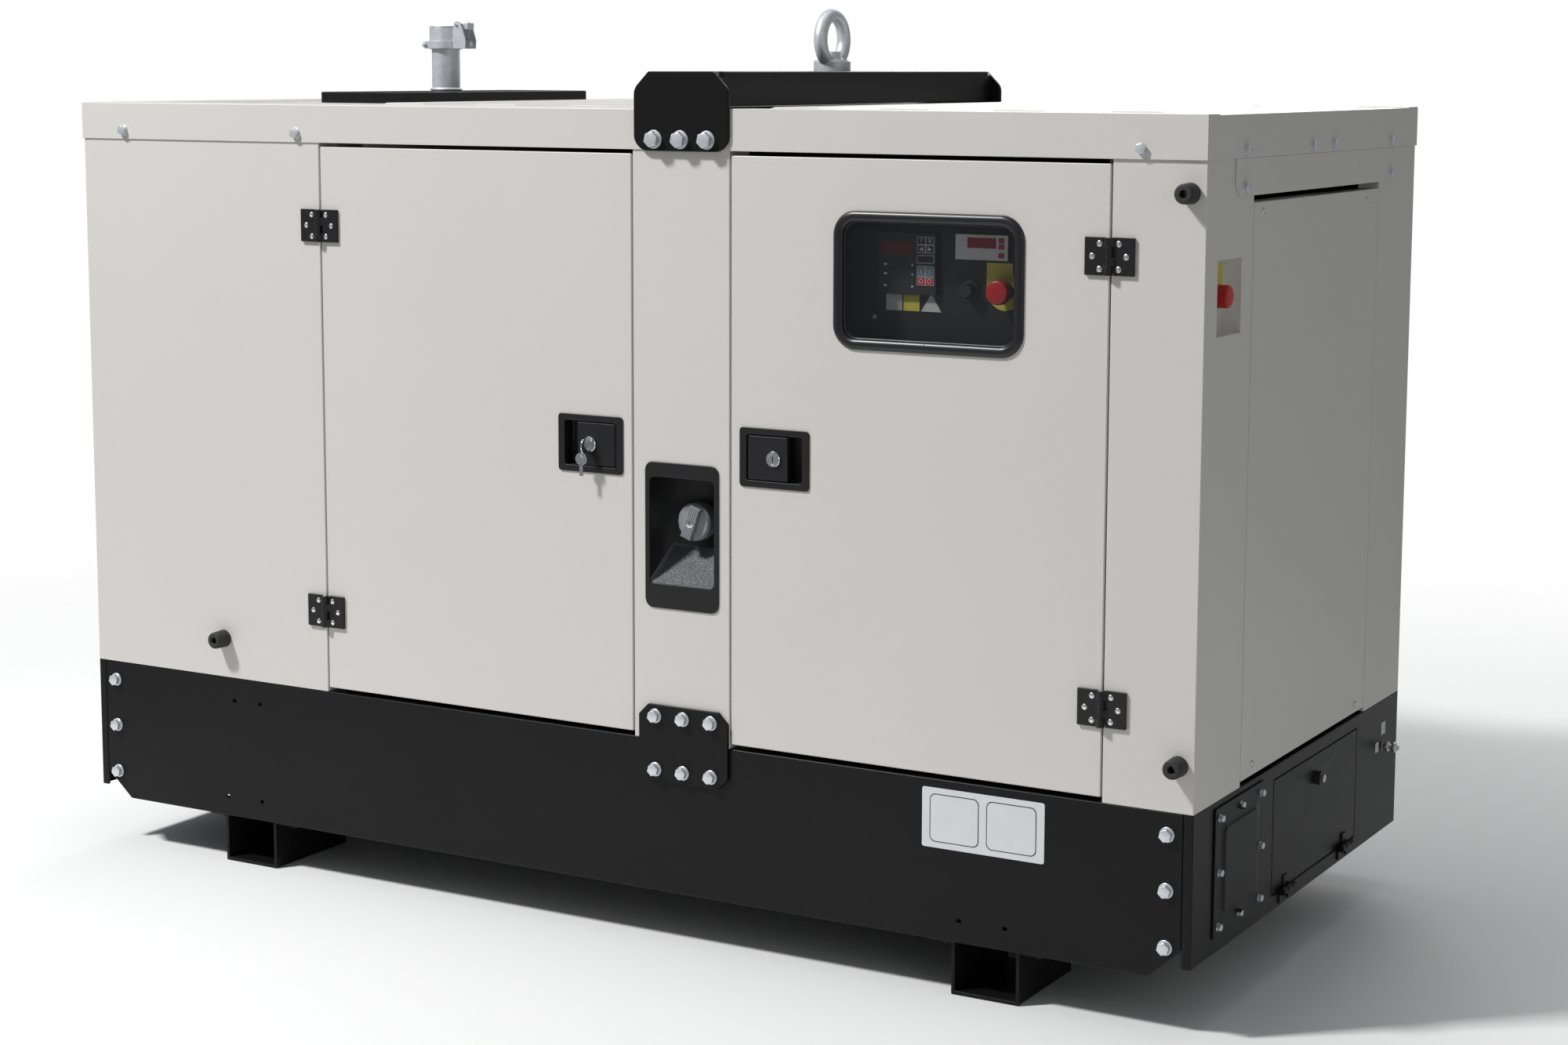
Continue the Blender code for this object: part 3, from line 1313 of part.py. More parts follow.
def radiator(material):
    """The radiator core in its frame, standing on the deck."""
    depth, width, height = RADIATOR
    foot = DECK_TOP + GAP
    low = (RADIATOR_X - depth / 2, -width / 2, foot)
    high = (RADIATOR_X + depth / 2, width / 2, foot + 0.06 + height)
    bm = bmesh.new()
    block(bm, low, high)
    obj = solid("radiator", bm, material)
    bm = bmesh.new()
    for x in (low[0] - 0.01, high[0] - 0.02):
        block(bm, (x, low[1] + 0.05, foot + 0.09), (x + 0.03, high[1] - 0.05, high[2] - 0.05))
    cut(obj, bm)


def alternator(material):
    """The alternator on the engine's flywheel end, with its feet and terminal box."""
    radius, length = ALTERNATOR
    start = ENGINE_X + ENGINE[0] / 2 + GAP
    foot = DECK_TOP + GAP
    shaft = DECK_TOP + SHAFT_HEIGHT
    bm = bmesh.new()
    profile = [(0.9 * radius, start), (0.9 * radius, start + 0.10), (radius, start + 0.12)]
    profile += [(radius, start + length - 0.05), (0.8 * radius, start + length)]
    turned(bm, profile, "X", (0, shaft), 20)
    obj = solid("alternator", bm, material, smooth=True)
    for side in (-1, 1):
        bm = bmesh.new()
        ends = sorted((side * 0.06, side * 0.19))
        block(bm, (start + 0.16, ends[0], foot), (start + length - 0.10, ends[1], shaft - 0.10))
        add(obj, bm)
    bm = bmesh.new()
    block(bm, (start + 0.14, -0.14, shaft + 0.10), (start + length - 0.06, 0.14, shaft + radius + 0.10))
    add(obj, bm)


def battery(material):
    length, width, height = BATTERY
    x, y = BATTERY_PLACE
    foot = DECK_TOP + GAP
    bm = bmesh.new()
    block(bm, (x - length / 2, y - width / 2, foot), (x + length / 2, y + width / 2, foot + height))
    obj = solid("battery", bm, material)
    posts = bmesh.new()
    for side in (-1, 1):
        top = foot + height
        turned(posts, [(0.009, top - 0.002), (0.008, top + 0.018)], "Z", (x + side * 0.11, y + 0.05), 10)
    add(obj, posts)


# ---- The whole set ----
def main():
    clear_scene()
    powder = finish_of("warm_grey_powder_coat", (0.58, 0.575, 0.55), 0.5)
    black = finish_of("black_powder_coat", (0.020, 0.020, 0.021), 0.45)
    plastic = finish_of("black_nylon", (0.015, 0.015, 0.016), 0.5)
    rubber = finish_of("black_rubber", (0.022, 0.022, 0.023), 0.75)
    zinc = finish_of("galvanised_steel", (0.60, 0.62, 0.64), 0.35, 1.0)
    steel = finish_of("silencer_steel", (0.45, 0.46, 0.47), 0.5, 1.0)
    red = finish_of("stop_red", (0.60, 0.02, 0.02), 0.4)
    glass = finish_of("smoked_glass", (0.03, 0.035, 0.04), 0.08)
    iron = finish_of("engine_grey", (0.12, 0.13, 0.13), 0.6)
    tank = finish_of("tank_black", (0.03, 0.03, 0.03), 0.6)
    box = finish_of("cubicle_black", (0.02, 0.02, 0.022), 0.5)

    for label, side in (("front", -1), ("rear", 1)):
        rail(f"base_rail_{label}", side, black)
        tie_plate(f"tie_plate_{label}", side, black)
        for where, end in (("left", -1), ("right", 1)):
            skid_foot(f"skid_foot_{label}_{where}", end * FOOT_SPAN / 2, side, black)
        corner_wall(f"side_panel_{label}", SEAM_SIDE, -1, side, powder)
    base_end("base_end_left", -1, black)
    base_end("base_end_right", 1, black)
    base_flap(black)
    access_plate(black)
    deck(black)

    front_post = corner_wall("corner_post_front", SEAM_POST, 1, -1, powder)
    stop_pocket(front_post)
    corner_wall("corner_post_rear", SEAM_POST, 1, 1, powder)
    front_column = column("column_front", -1, powder)
    column("column_rear", 1, powder)
    service_panel("service_panel_left", SEAM_SIDE + MIDDLE_SEAM, SEAM_COLUMN_LEFT - MIDDLE_SEAM, powder)
    service_panel("service_panel_right", SEAM_COLUMN_RIGHT + MIDDLE_SEAM, SEAM_POST - MIDDLE_SEAM, powder)
    end_panel("end_access_panel", 1, LIP_BOTTOM - CROSS_PLATE_DROP - END_PANEL_TOP_SLOT, powder)
    end_panel("left_end_panel", -1, DOOR_TOP, powder)
    cross_plate(powder)

    roof_cap(powder)
    exhaust_cover(black)
    silencer(zinc)
    raincap_flap(zinc)
    lifting_beam(black)
    lifting_eye(zinc)

    doors = {
        "left": (SEAM_SIDE, SEAM_COLUMN_LEFT),
        "right": (SEAM_POST, SEAM_COLUMN_RIGHT),
    }
    for where, (hinge, edge) in doors.items():
        away = 1 if edge > hinge else -1
        leaf = door(f"door_{where}", hinge, edge, powder)
        centre = latch_centre(edge, away)
        latch_dish(f"latch_dish_{where}", centre, leaf, plastic)
        latch_paddle(f"latch_paddle_{where}", centre, away, leaf, plastic)
        for level_name, level in hinge_levels().items():
            place = f"{where}_{level_name}"
            hinge_leaf(f"hinge_fixed_{place}", hinge, level, -away, 1, plastic, pinned=True)
            hinge_leaf(f"hinge_moving_{place}", hinge, level, away, 0, plastic, parent=leaf)
        if where == "right":
            window_hole(leaf)
            window_seal(leaf, rubber)
            window_pane(leaf, glass)

    control_cubicle(box)
    emergency_stop("estop_panel", "Y", cubicle_box()[0][1], cubicle_stop(), -1, red)
    emergency_stop("estop_side", "X", HALF_LENGTH - POCKET[2], side_stop(), 1, red)
    filler_recess(front_column, plastic)
    filler_cap(plastic)
    for place, (x, level) in BUFFER_PLACES.items():
        rubber_buffer(f"rubber_buffer_{place}", x, level, rubber)

    fuel_tank(tank)
    engine(iron)
    cooling_fan(plastic)
    radiator(tank)
    alternator(iron)
    battery(tank)


main()
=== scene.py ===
"""The looks of the enclosed generating set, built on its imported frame.

Each piece of the frame is shown by a copy with rounded folds. The smaller things that the frame leaves
out (screws, locks, keys, instruments, linings, hoses) are added here. All sizes are in metres, in the
part's frame: X along the doors towards the stop button's end, Y to the back, Z up from the ground.
"""

import json
import math

import bmesh
import bpy
from mathutils import Matrix, Vector
from mathutils.bvhtree import BVHTree


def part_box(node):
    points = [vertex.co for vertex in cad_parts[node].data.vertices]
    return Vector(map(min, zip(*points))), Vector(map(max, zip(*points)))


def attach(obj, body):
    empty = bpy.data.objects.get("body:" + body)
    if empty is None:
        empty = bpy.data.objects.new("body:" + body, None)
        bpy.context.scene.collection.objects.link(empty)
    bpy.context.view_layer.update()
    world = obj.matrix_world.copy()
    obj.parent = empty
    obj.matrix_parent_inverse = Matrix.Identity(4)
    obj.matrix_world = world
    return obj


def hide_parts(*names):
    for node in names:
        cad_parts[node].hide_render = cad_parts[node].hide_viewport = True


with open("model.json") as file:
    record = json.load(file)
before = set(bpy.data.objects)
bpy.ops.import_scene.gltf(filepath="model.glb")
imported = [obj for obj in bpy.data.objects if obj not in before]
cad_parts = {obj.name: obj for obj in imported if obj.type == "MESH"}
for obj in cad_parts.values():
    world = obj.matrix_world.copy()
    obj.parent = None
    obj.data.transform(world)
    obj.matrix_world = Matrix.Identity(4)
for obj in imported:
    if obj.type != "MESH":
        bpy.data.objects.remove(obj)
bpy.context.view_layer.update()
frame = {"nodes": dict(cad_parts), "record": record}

# ---- Measures shared with the frame ----
FACE = -0.4935  # front of the canopy
END = 1.100  # right end of the canopy
ROOF_TOP = 1.395
BAYS_X = ((-0.547, 0.100), (0.291, 0.9475))  # doors in front, service panels behind
HINGES_Z = (1.1845, 0.498)
LATCHES = {"left": (0.0185, 0.8385), "right": (0.3725, 0.8385)}
PANEL_FACE = -0.4275  # front of the control cubicle
CAP = (0.1975, 0.716)
PIPE = (-0.640, 0.0)
EYE = (0.2015, 0.0, 1.5103)
HAIR = 0.0001  # how far what lies on a face stands off it
PAD_EDGE = 0.004  # rounding of a foam pad
STICKER_EDGE = 0.0001

OUT = {
    "front": Vector((0, -1, 0)),
    "back": Vector((0, 1, 0)),
    "right": Vector((1, 0, 0)),
    "left": Vector((-1, 0, 0)),
}
UP = Vector((0, 0, 1))


# ---- Finishes ----
def set_inputs(node, values):
    for name, value in values.items():
        node.inputs[name].default_value = value
    return node


def surface(name, colour, roughness, metallic=0.0, mottle=(5.0, 0.04), grain=(600.0, 0.05, 0.0002),
            sheen=0.5):
    """A finish whose colour drifts a little, by mottle's (scale, amount), under a fine grain of
    (scale, strength, depth)."""
    material = bpy.data.materials.new(name)
    material.use_nodes = True
    nodes, links = material.node_tree.nodes, material.node_tree.links
    shader = set_inputs(nodes["Principled BSDF"], {
        "Base Color": (*colour, 1),
        "Roughness": roughness,
        "Metallic": metallic,
        "Specular IOR Level": sheen,
    })
    place = nodes.new("ShaderNodeTexCoord").outputs["Object"]
    scale, amount = mottle
    drift = set_inputs(nodes.new("ShaderNodeTexNoise"), {"Scale": scale, "Detail": 4})
    links.new(place, drift.inputs["Vector"])
    tint = nodes.new("ShaderNodeMix")
    tint.data_type = "RGBA"
    set_inputs(tint, {
        "A": (*[c * (1 - amount) for c in colour], 1),
        "B": (*[min(1, c * (1 + amount)) for c in colour], 1),
    })
    links.new(drift.outputs["Fac"], tint.inputs["Factor"])
    links.new(tint.outputs["Result"], shader.inputs["Base Color"])
    scale, strength, depth = grain
    fine = set_inputs(nodes.new("ShaderNodeTexNoise"), {"Scale": scale, "Detail": 2})
    links.new(place, fine.inputs["Vector"])
    bump = set_inputs(nodes.new("ShaderNodeBump"), {"Strength": strength, "Distance": depth})
    links.new(fine.outputs["Fac"], bump.inputs["Height"])
    links.new(bump.outputs["Normal"], shader.inputs["Normal"])
    return material


def regrained(material, texture, output, depth):
    """Replaces a finish's grain by one of a texture's outputs."""
    nodes, links = material.node_tree.nodes, material.node_tree.links
    links.new(nodes["Texture Coordinate"].outputs["Object"], texture.inputs["Vector"])
    bump = set_inputs(nodes["Bump"], {"Strength": 1.0, "Distance": depth})
    links.new(texture.outputs[output], bump.inputs["Height"])
    return material


def striped(material, pitch, depth):
    """Replaces a finish's grain by even ribs across Y."""
    wave = material.node_tree.nodes.new("ShaderNodeTexWave")
    wave.bands_direction = "Y"
    wave.inputs["Scale"].default_value = math.pi / (10 * pitch)
    return regrained(material, wave, "Fac", depth)


def dimpled(material, scale, depth):
    """Replaces a finish's grain by open cells, as in foam."""
    cells = material.node_tree.nodes.new("ShaderNodeTexVoronoi")
    cells.inputs["Scale"].default_value = scale
    return regrained(material, cells, "Distance", depth)


COAT = surface("warm_grey_coat", (0.575, 0.565, 0.535), 0.40,
               mottle=(3.0, 0.025), grain=(420.0, 0.22, 0.0004))
BLACK_COAT = surface("black_coat", (0.0075, 0.0075, 0.008), 0.36,
                     mottle=(9.0, 0.15), grain=(500.0, 0.20, 0.0004), sheen=0.16)
NYLON = surface("black_nylon", (0.010, 0.010, 0.011), 0.40,
                mottle=(20.0, 0.1), grain=(1600.0, 0.25, 0.0002), sheen=0.35)
# Partly a painted highlight: the coarse floor's grain is real, but its lighter colour and bright speckle
# stand in for sun glints on it.
NYLON_COARSE_GLINTS = surface("black_nylon_coarse_painted_glints", (0.075, 0.077, 0.084), 0.35,
                       mottle=(900.0, 0.5), grain=(520.0, 1.0, 0.0020), sheen=0.9)
# Painted highlight: the cap is black plastic, and this grey stands in for the sun's glare on it.
CAP_GLARE_GREY = surface("cap_grey_painted_glare", (0.240, 0.245, 0.260), 0.42, mottle=(60.0, 0.1), grain=(900.0, 0.3, 0.0003))
RUBBER = surface("black_rubber", (0.009, 0.009, 0.011), 0.34,
                 mottle=(15.0, 0.15), grain=(900.0, 0.15, 0.0003))
RUBBER_MATTE = surface("black_rubber_matte", (0.020, 0.020, 0.020), 0.68,
                       mottle=(30.0, 0.2), grain=(900.0, 0.3, 0.0003))
GALVANISED = surface("galvanised_steel", (0.60, 0.62, 0.66), 0.46, 0.55,
                     mottle=(90.0, 0.20), grain=(300.0, 0.2, 0.0003))
EXHAUST = surface("exhaust_steel", (0.40, 0.40, 0.40), 0.45, 1.0,
                  mottle=(25.0, 0.25), grain=(400.0, 0.3, 0.0004))
ZINC = surface("bright_zinc", (0.62, 0.62, 0.60), 0.30, 1.0, mottle=(120.0, 0.12), grain=(900.0, 0.1, 0.0001))
BOLT_ZINC = surface("zinc_bolt", (0.66, 0.68, 0.71), 0.36, 0.60,
                    mottle=(120.0, 0.10), grain=(900.0, 0.1, 0.0001))
CHROME = surface("chrome", (0.72, 0.72, 0.73), 0.12, 1.0, mottle=(60.0, 0.04), grain=(900.0, 0.03, 0.0001))
RED = surface("stop_red", (0.42, 0.010, 0.012), 0.38, mottle=(20.0, 0.05), grain=(900.0, 0.08, 0.0002))
GLASS = surface("smoked_glass", (0.030, 0.032, 0.036), 0.03, mottle=(3.0, 0.05), grain=(3.0, 0.02, 0.0002))
set_inputs(GLASS.node_tree.nodes["Principled BSDF"], {"Alpha": 0.16})
CASTING = surface("engine_casting", (0.105, 0.115, 0.120), 0.55,
                  mottle=(18.0, 0.2), grain=(260.0, 0.6, 0.0012))
RADIATOR = striped(surface("radiator_black", (0.030, 0.030, 0.031), 0.5), 0.006, 0.004)
MOULDED = surface("moulded_black", (0.017, 0.017, 0.018), 0.5, grain=(800.0, 0.3, 0.0004))
CUBICLE = surface("cubicle_black", (0.014, 0.014, 0.016), 0.42,
                  mottle=(8.0, 0.1), grain=(700.0, 0.25, 0.0003))
FOAM = dimpled(surface("acoustic_foam", (0.045, 0.045, 0.048), 0.9), 260.0, 0.004)
SILVER = surface("silver_label", (0.66, 0.67, 0.69), 0.36, 0.35,
                 mottle=(40.0, 0.05), grain=(900.0, 0.05, 0.0001))
PALE = surface("pale_plastic", (0.60, 0.61, 0.62), 0.45)
YELLOW = surface("dull_yellow", (0.56, 0.50, 0.07), 0.5)
NEUTRAL = surface("blank_sticker", (0.52, 0.52, 0.50), 0.42, grain=(900.0, 0.05, 0.0001))
SLATE = surface("slate_key", (0.16, 0.23, 0.27), 0.45)
# Near-black. Where it fills keyways and key slots it is painted shade. It also colours the stop's collar and
# the seal's joint.
DARK = surface("dark_gap", (0.004, 0.004, 0.004), 0.8)
DISPLAY = surface("display_red", (0.10, 0.004, 0.006), 0.2, grain=(1200.0, 0.3, 0.0003))
DISPLAY_LIT = surface("display_red_lit", (0.26, 0.010, 0.014), 0.2, grain=(1200.0, 0.3, 0.0003))
WHITE = surface("white_mark", (0.62, 0.62, 0.60), 0.5)

SLOT_FINISH = {
    "warm_grey_coat": COAT,
    "black_coat": BLACK_COAT,
    "black_nylon": NYLON,
    "black_rubber": RUBBER,
    "galvanised_steel": GALVANISED,
    "exhaust_steel": EXHAUST,
    "stop_red": RED,
    "smoked_glass": GLASS,
    "engine_casting": CASTING,
    "radiator_black": RADIATOR,
    "moulded_black": MOULDED,
    "cubicle_black": CUBICLE,
}
NODE_BODY = {n: body for body, members in frame["record"]["behaviour"]["bodies"].items() for n in members}
NODE_SLOT = {entry["node"]: entry["material_slot"] for entry in frame["record"]["subparts"]}


# ---- Meshes and objects ----
def shape():
    return bmesh.new()


def linked(name, data):
    """A new object in the scene."""
    obj = bpy.data.objects.new(name, data)
    bpy.context.scene.collection.objects.link(obj)
    return obj


def mesh_of(bm, name, finishes=()):
    """Turns a bmesh into a mesh with finishes by index."""
    mesh = bpy.data.meshes.new(name)
    bm.to_mesh(mesh)
    bm.free()
    for material in finishes:
        mesh.materials.append(material)
    return mesh


# ---- Copies of the frame's pieces, with rounded folds ----
WELD = 2e-6  # points nearer to each other than this are joined
FLAT_ANGLE = 0.006  # faces that lean less than this are joined
SHARP_ANGLE = 0.40  # edges that fold more than this are rounded
PROBE = 1e-4  # how far off a face its width is probed


def edge_weights(bm, fold, rim, reach):
    """How far each sharp edge is rounded, as a share of fold: a sheet's own thin rims get the rim radius."""
    bm.normal_update()
    tree = BVHTree.FromBMesh(bm)
    layer = bm.edges.layers.float.new("bevel_weight_edge")
    for edge in bm.edges:
        if len(edge.link_faces) != 2 or edge.calc_face_angle(0) < SHARP_ANGLE or not edge.is_convex:
            continue
        middle = (edge.verts[0].co + edge.verts[1].co) / 2
        along = (edge.verts[1].co - edge.verts[0].co).normalized()
        wide = edge.calc_length() > 1.2 * fold
        for face in edge.link_faces:
            inward = face.normal.cross(along)
            if inward.dot(face.calc_center_median() - middle) < 0:
                inward.negate()
            spot = middle + inward * reach + face.normal * PROBE
            wide = wide and tree.ray_cast(spot, -face.normal, 3 * PROBE)[0] is not None
        edge[layer] = 1.0 if wide else rim / fold


def shade(obj):
    """Smooth shading, but for sharp folds."""
    obj.data.shade_smooth()
    obj.data.set_sharp_from_angle(angle=math.radians(38))
    obj.modifiers.new("even faces", "WEIGHTED_NORMAL").keep_sharp = True
    applied(obj)


def applied(obj):
    """The object's mesh with its modifiers in it, and none left on it."""
    graph = bpy.context.evaluated_depsgraph_get()
    mesh = bpy.data.meshes.new_from_object(obj.evaluated_get(graph))
    obj.modifiers.clear()
    obj.data = mesh
    return obj


def strip_bolts(bm, test):
    """Takes a plate's plain bolts off and closes it. Gives each one's seat, direction, radius and height."""
    loose = {face for face in bm.faces if test(face.calc_center_median())}
    unseen, bolts = set(loose), []
    while unseen:
        bolt, waiting = [], [unseen.pop()]
        while waiting:
            face = waiting.pop()
            bolt.append(face)
            near = {other for edge in face.edges for other in edge.link_faces} & unseen
            unseen -= near
            waiting.extend(near)
        spots = [vert.co for face in bolt for vert in face.verts]
        low = Vector([min(spot[i] for spot in spots) for i in range(3)])
        high = Vector([max(spot[i] for spot in spots) for i in range(3)])
        size, seat = high - low, (low + high) / 2
        axis = min(range(3), key=lambda i: size[i])
        way = Vector((0, 0, 0))
        way[axis] = 1.0 if seat[axis] > 0 else -1.0
        seat[axis] = low[axis] if way[axis] > 0 else high[axis]
        bolts.append((seat, way, max(size) / 2, size[axis]))
    bolts.sort(key=lambda one: tuple(round(c, 4) for c in one[0]))
    bmesh.ops.delete(bm, geom=list(loose), context="FACES")
    open_edges = [edge for edge in bm.edges if edge.is_boundary]
    filled = bmesh.ops.holes_fill(bm, edges=open_edges, sides=0)["faces"]
    bm.normal_update()
    for face in filled:
        spot = face.calc_center_median()
        _, way, _, _ = min(bolts, key=lambda one: (one[0] - spot).length)
        if face.normal.dot(way) < 0:
            face.normal_flip()
    return bolts


def round_corners(bm, radius, level):
    """Rounds the corners, seen from the front, of the plates past a level at the front and at the back."""
    bm.normal_update()
    corners = []
    for edge in bm.edges:
        start, end = edge.verts[0].co, edge.verts[1].co
        runs_back = abs(end.y - start.y) > 0.99 * (end - start).length
        if abs(start.y) > level < abs(end.y) and runs_back:
            if len(edge.link_faces) == 2 and 0.3 < edge.calc_face_angle(0) < 1.2:
                corners.append(edge)
    bmesh.ops.bevel(bm, geom=corners, offset=radius, segments=4, profile=0.5, affect="EDGES",
                    clamp_overlap=True)


def soften(node, fold=0.0016, rim=0.0003, reach=0.0032, segments=3, paint=(), finish=None, bolts=None,
           corners=None):
    """Shows a CAD node by a copy with its edges rounded. paint is a list of (finish, test of a face's
    centre), bolts a test for its bolts, which finer ones replace, and corners a plate's (radius, level)
    for round_corners."""
    bm = shape()
    bm.from_mesh(frame["nodes"][node].data)
    bmesh.ops.remove_doubles(bm, verts=bm.verts, dist=WELD)
    seats = strip_bolts(bm, bolts) if bolts else []
    bmesh.ops.dissolve_limit(bm, angle_limit=FLAT_ANGLE, verts=bm.verts, edges=bm.edges, delimit={"NORMAL"})
    if corners:
        round_corners(bm, *corners)
    bmesh.ops.triangulate(bm, faces=[face for face in bm.faces if len(face.verts) > 4])
    for index, (_, test) in enumerate(paint):
        for face in bm.faces:
            if test(face.calc_center_median()):
                face.material_index = index + 1
    edge_weights(bm, fold, rim, reach)
    finishes = [finish or SLOT_FINISH[NODE_SLOT[node]]] + [coat for coat, _ in paint]
    obj = linked(node + "_look", mesh_of(bm, node + "_look", finishes))
    bevel = obj.modifiers.new("rounded folds", "BEVEL")
    bevel.limit_method = "WEIGHT"
    bevel.width = fold
    bevel.segments = segments
    bevel.use_clamp_overlap = False
    bevel.miter_outer = "MITER_ARC"
    applied(obj)
    shade(obj)
    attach(obj, NODE_BODY[node])
    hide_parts(node)
    for size in sorted({round(radius, 4) for _, _, radius, _ in seats}):
        same = [bolt for bolt in seats if round(bolt[2], 4) == size]
        name = f"{node}_bolts_{round(2000 * size)}"
        places = [bolt[:2] for bolt in same]
        fasteners(name, hex_bolt(size, same[0][3]), places, NODE_BODY[node], BOLT_ZINC)
    return obj


# ---- Building new pieces ----
def finish_faces(bm, faces, m):
    """Turns new faces outward and gives them a finish."""
    bmesh.ops.recalc_face_normals(bm, faces=faces)
    for face in faces:
        face.material_index = m


def add_skin(bm, rings, closed, m):
    """Joins rings of points into a tube, which is closed on itself or has a flat face at each end."""
    faces = []
    following = rings[1:] + rings[:1] if closed else rings[1:]
    for ring, after in zip(rings, following):
        for i in range(len(ring)):
            j = (i + 1) % len(ring)
            faces.append(bm.faces.new((ring[i], ring[j], after[j], after[i])))
    if not closed:
        faces.append(bm.faces.new(rings[0]))
        faces.append(bm.faces.new(rings[-1]))
    finish_faces(bm, faces, m)


def rounded_edges(bm, faces, edge, segments=2, steep=0.6):
    """Rounds the sharp edges of the given new faces."""
    if edge <= 0:
        return
    near = dict.fromkeys(e for f in faces for e in f.edges)
    edges = [e for e in near if len(e.link_faces) == 2 and e.calc_face_angle(0) > steep]
    bmesh.ops.bevel(bm, geom=edges, offset=edge, segments=segments, profile=0.5, affect="EDGES")


def add_prism(bm, outline, axis, low, high, m=0, edge=0.0, segments=2):
    """A flat outline drawn out along an axis. Its two numbers are the other two axes, in X, Y, Z order."""
    def point(a, b, c):
        return {"x": (c, a, b), "y": (a, c, b), "z": (a, b, c)}[axis]
    lower = [bm.verts.new(point(a, b, low)) for a, b in outline]
    upper = [bm.verts.new(point(a, b, high)) for a, b in outline]
    faces = [bm.faces.new(lower), bm.faces.new(upper)]
    count = len(outline)
    for i in range(count):
        j = (i + 1) % count
        faces.append(bm.faces.new((lower[i], lower[j], upper[j], upper[i])))
    finish_faces(bm, faces, m)
    rounded_edges(bm, faces, edge, segments)


def add_box(bm, low, high, m=0, edge=0.0, segments=2):
    outline = [(low[0], low[1]), (high[0], low[1]), (high[0], high[1]), (low[0], high[1])]
    add_prism(bm, outline, "z", low[2], high[2], m, edge, segments)


def turn_to(axis):
    """The rotation that takes Z to the given direction."""
    return Vector(axis).to_track_quat("Z", "Y").to_matrix().to_4x4()


def add_lathe(bm, origin, axis, profile, m=0, sides=40, waves=(0, 0.0)):
    """A profile of (radius, height) turned about an axis. waves is (how many, how deep) round the rim."""
    turn = Matrix.Translation(Vector(origin)) @ turn_to(axis)
    rings = []
    for radius, height in profile:
        ring = []
        for i in range(sides):
            angle = 2 * math.pi * i / sides
            r = radius * (1 + waves[1] * math.cos(waves[0] * angle))
            ring.append(bm.verts.new(turn @ Vector((r * math.cos(angle), r * math.sin(angle), height))))
        rings.append(ring)
    add_skin(bm, rings, False, m)


def add_rod(bm, start, end, radius, m=0, sides=28, edge=0.0):
    start, end = Vector(start), Vector(end)
    length = (end - start).length
    profile = [(radius - edge, 0), (radius, edge), (radius, length - edge), (radius - edge, length)]
    if edge <= 0:
        profile = [(radius, 0), (radius, length)]
    add_lathe(bm, start, end - start, profile, m, sides)


def add_tube(bm, path, radius, m=0, sides=14, closed=False, width=None):
    """A round bar along a path of points. width makes it an oval, flat across the path."""
    path = [Vector(p) for p in path]
    count = len(path)
    side = None
    rings = []
    for i, here in enumerate(path):
        ahead = path[(i + 1) % count] if closed or i + 1 < count else here
        behind = path[i - 1] if closed or i > 0 else here
        way = (ahead - behind).normalized()
        if side is None:
            side = way.orthogonal() if abs(way.y) > 0.9 else way.cross(OUT["back"])
        side = (side - way * side.dot(way)).normalized()
        other = way.cross(side)
        ring = []
        for k in range(sides):
            angle = 2 * math.pi * k / sides
            spot = here + side * ((width or radius) * math.cos(angle)) + other * (radius * math.sin(angle))
            ring.append(bm.verts.new(spot))
        rings.append(ring)
    add_skin(bm, rings, closed, m)


def rounded_outline(centre, width, height, radius, steps=8):
    """A rectangle with round corners, as a list of points."""
    points = []
    for turn, (sx, sy) in enumerate(((1, 1), (-1, 1), (-1, -1), (1, -1))):
        cx = centre[0] + sx * (width / 2 - radius)
        cy = centre[1] + sy * (height / 2 - radius)
        for i in range(steps + 1):
            angle = math.pi / 2 * (turn + i / steps)
            points.append((cx + radius * math.cos(angle), cy + radius * math.sin(angle)))
    return points


def ellipse(centre, half_width, half_height, steps, turn=1.0):
    """Points of an ellipse that a full turn would have steps of. A part of a turn has both its ends."""
    count = steps if turn == 1.0 else round(steps * turn) + 1
    angles = [2 * math.pi * i / steps for i in range(count)]
    return [(centre[0] + half_width * math.cos(a), centre[1] + half_height * math.sin(a)) for a in angles]


def curved(points, steps=6):
    """A smooth path through a few points."""
    points = [Vector(p) for p in points]
    path = []
    for i in range(len(points) - 1):
        a, b = points[i], points[i + 1]
        before = points[i - 1] if i else a * 2 - b
        after = points[i + 2] if i + 2 < len(points) else b * 2 - a
        for k in range(steps):
            t = k / steps
            path.append(
                (b * 3 - before - a * 3 + after) * (0.5 * t**3)
                + (before * 2 - a * 5 + b * 4 - after) * (0.5 * t**2)
                + (b - before) * (0.5 * t)
                + a
            )
    return path + [points[-1]]


def piece(name, bm, body, finishes, replaces=()):
    """Makes a new piece of a bmesh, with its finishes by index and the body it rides."""
    obj = linked(name, mesh_of(bm, name, finishes))
    shade(obj)
    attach(obj, body)
    if replaces:
        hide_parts(*replaces)
    return obj


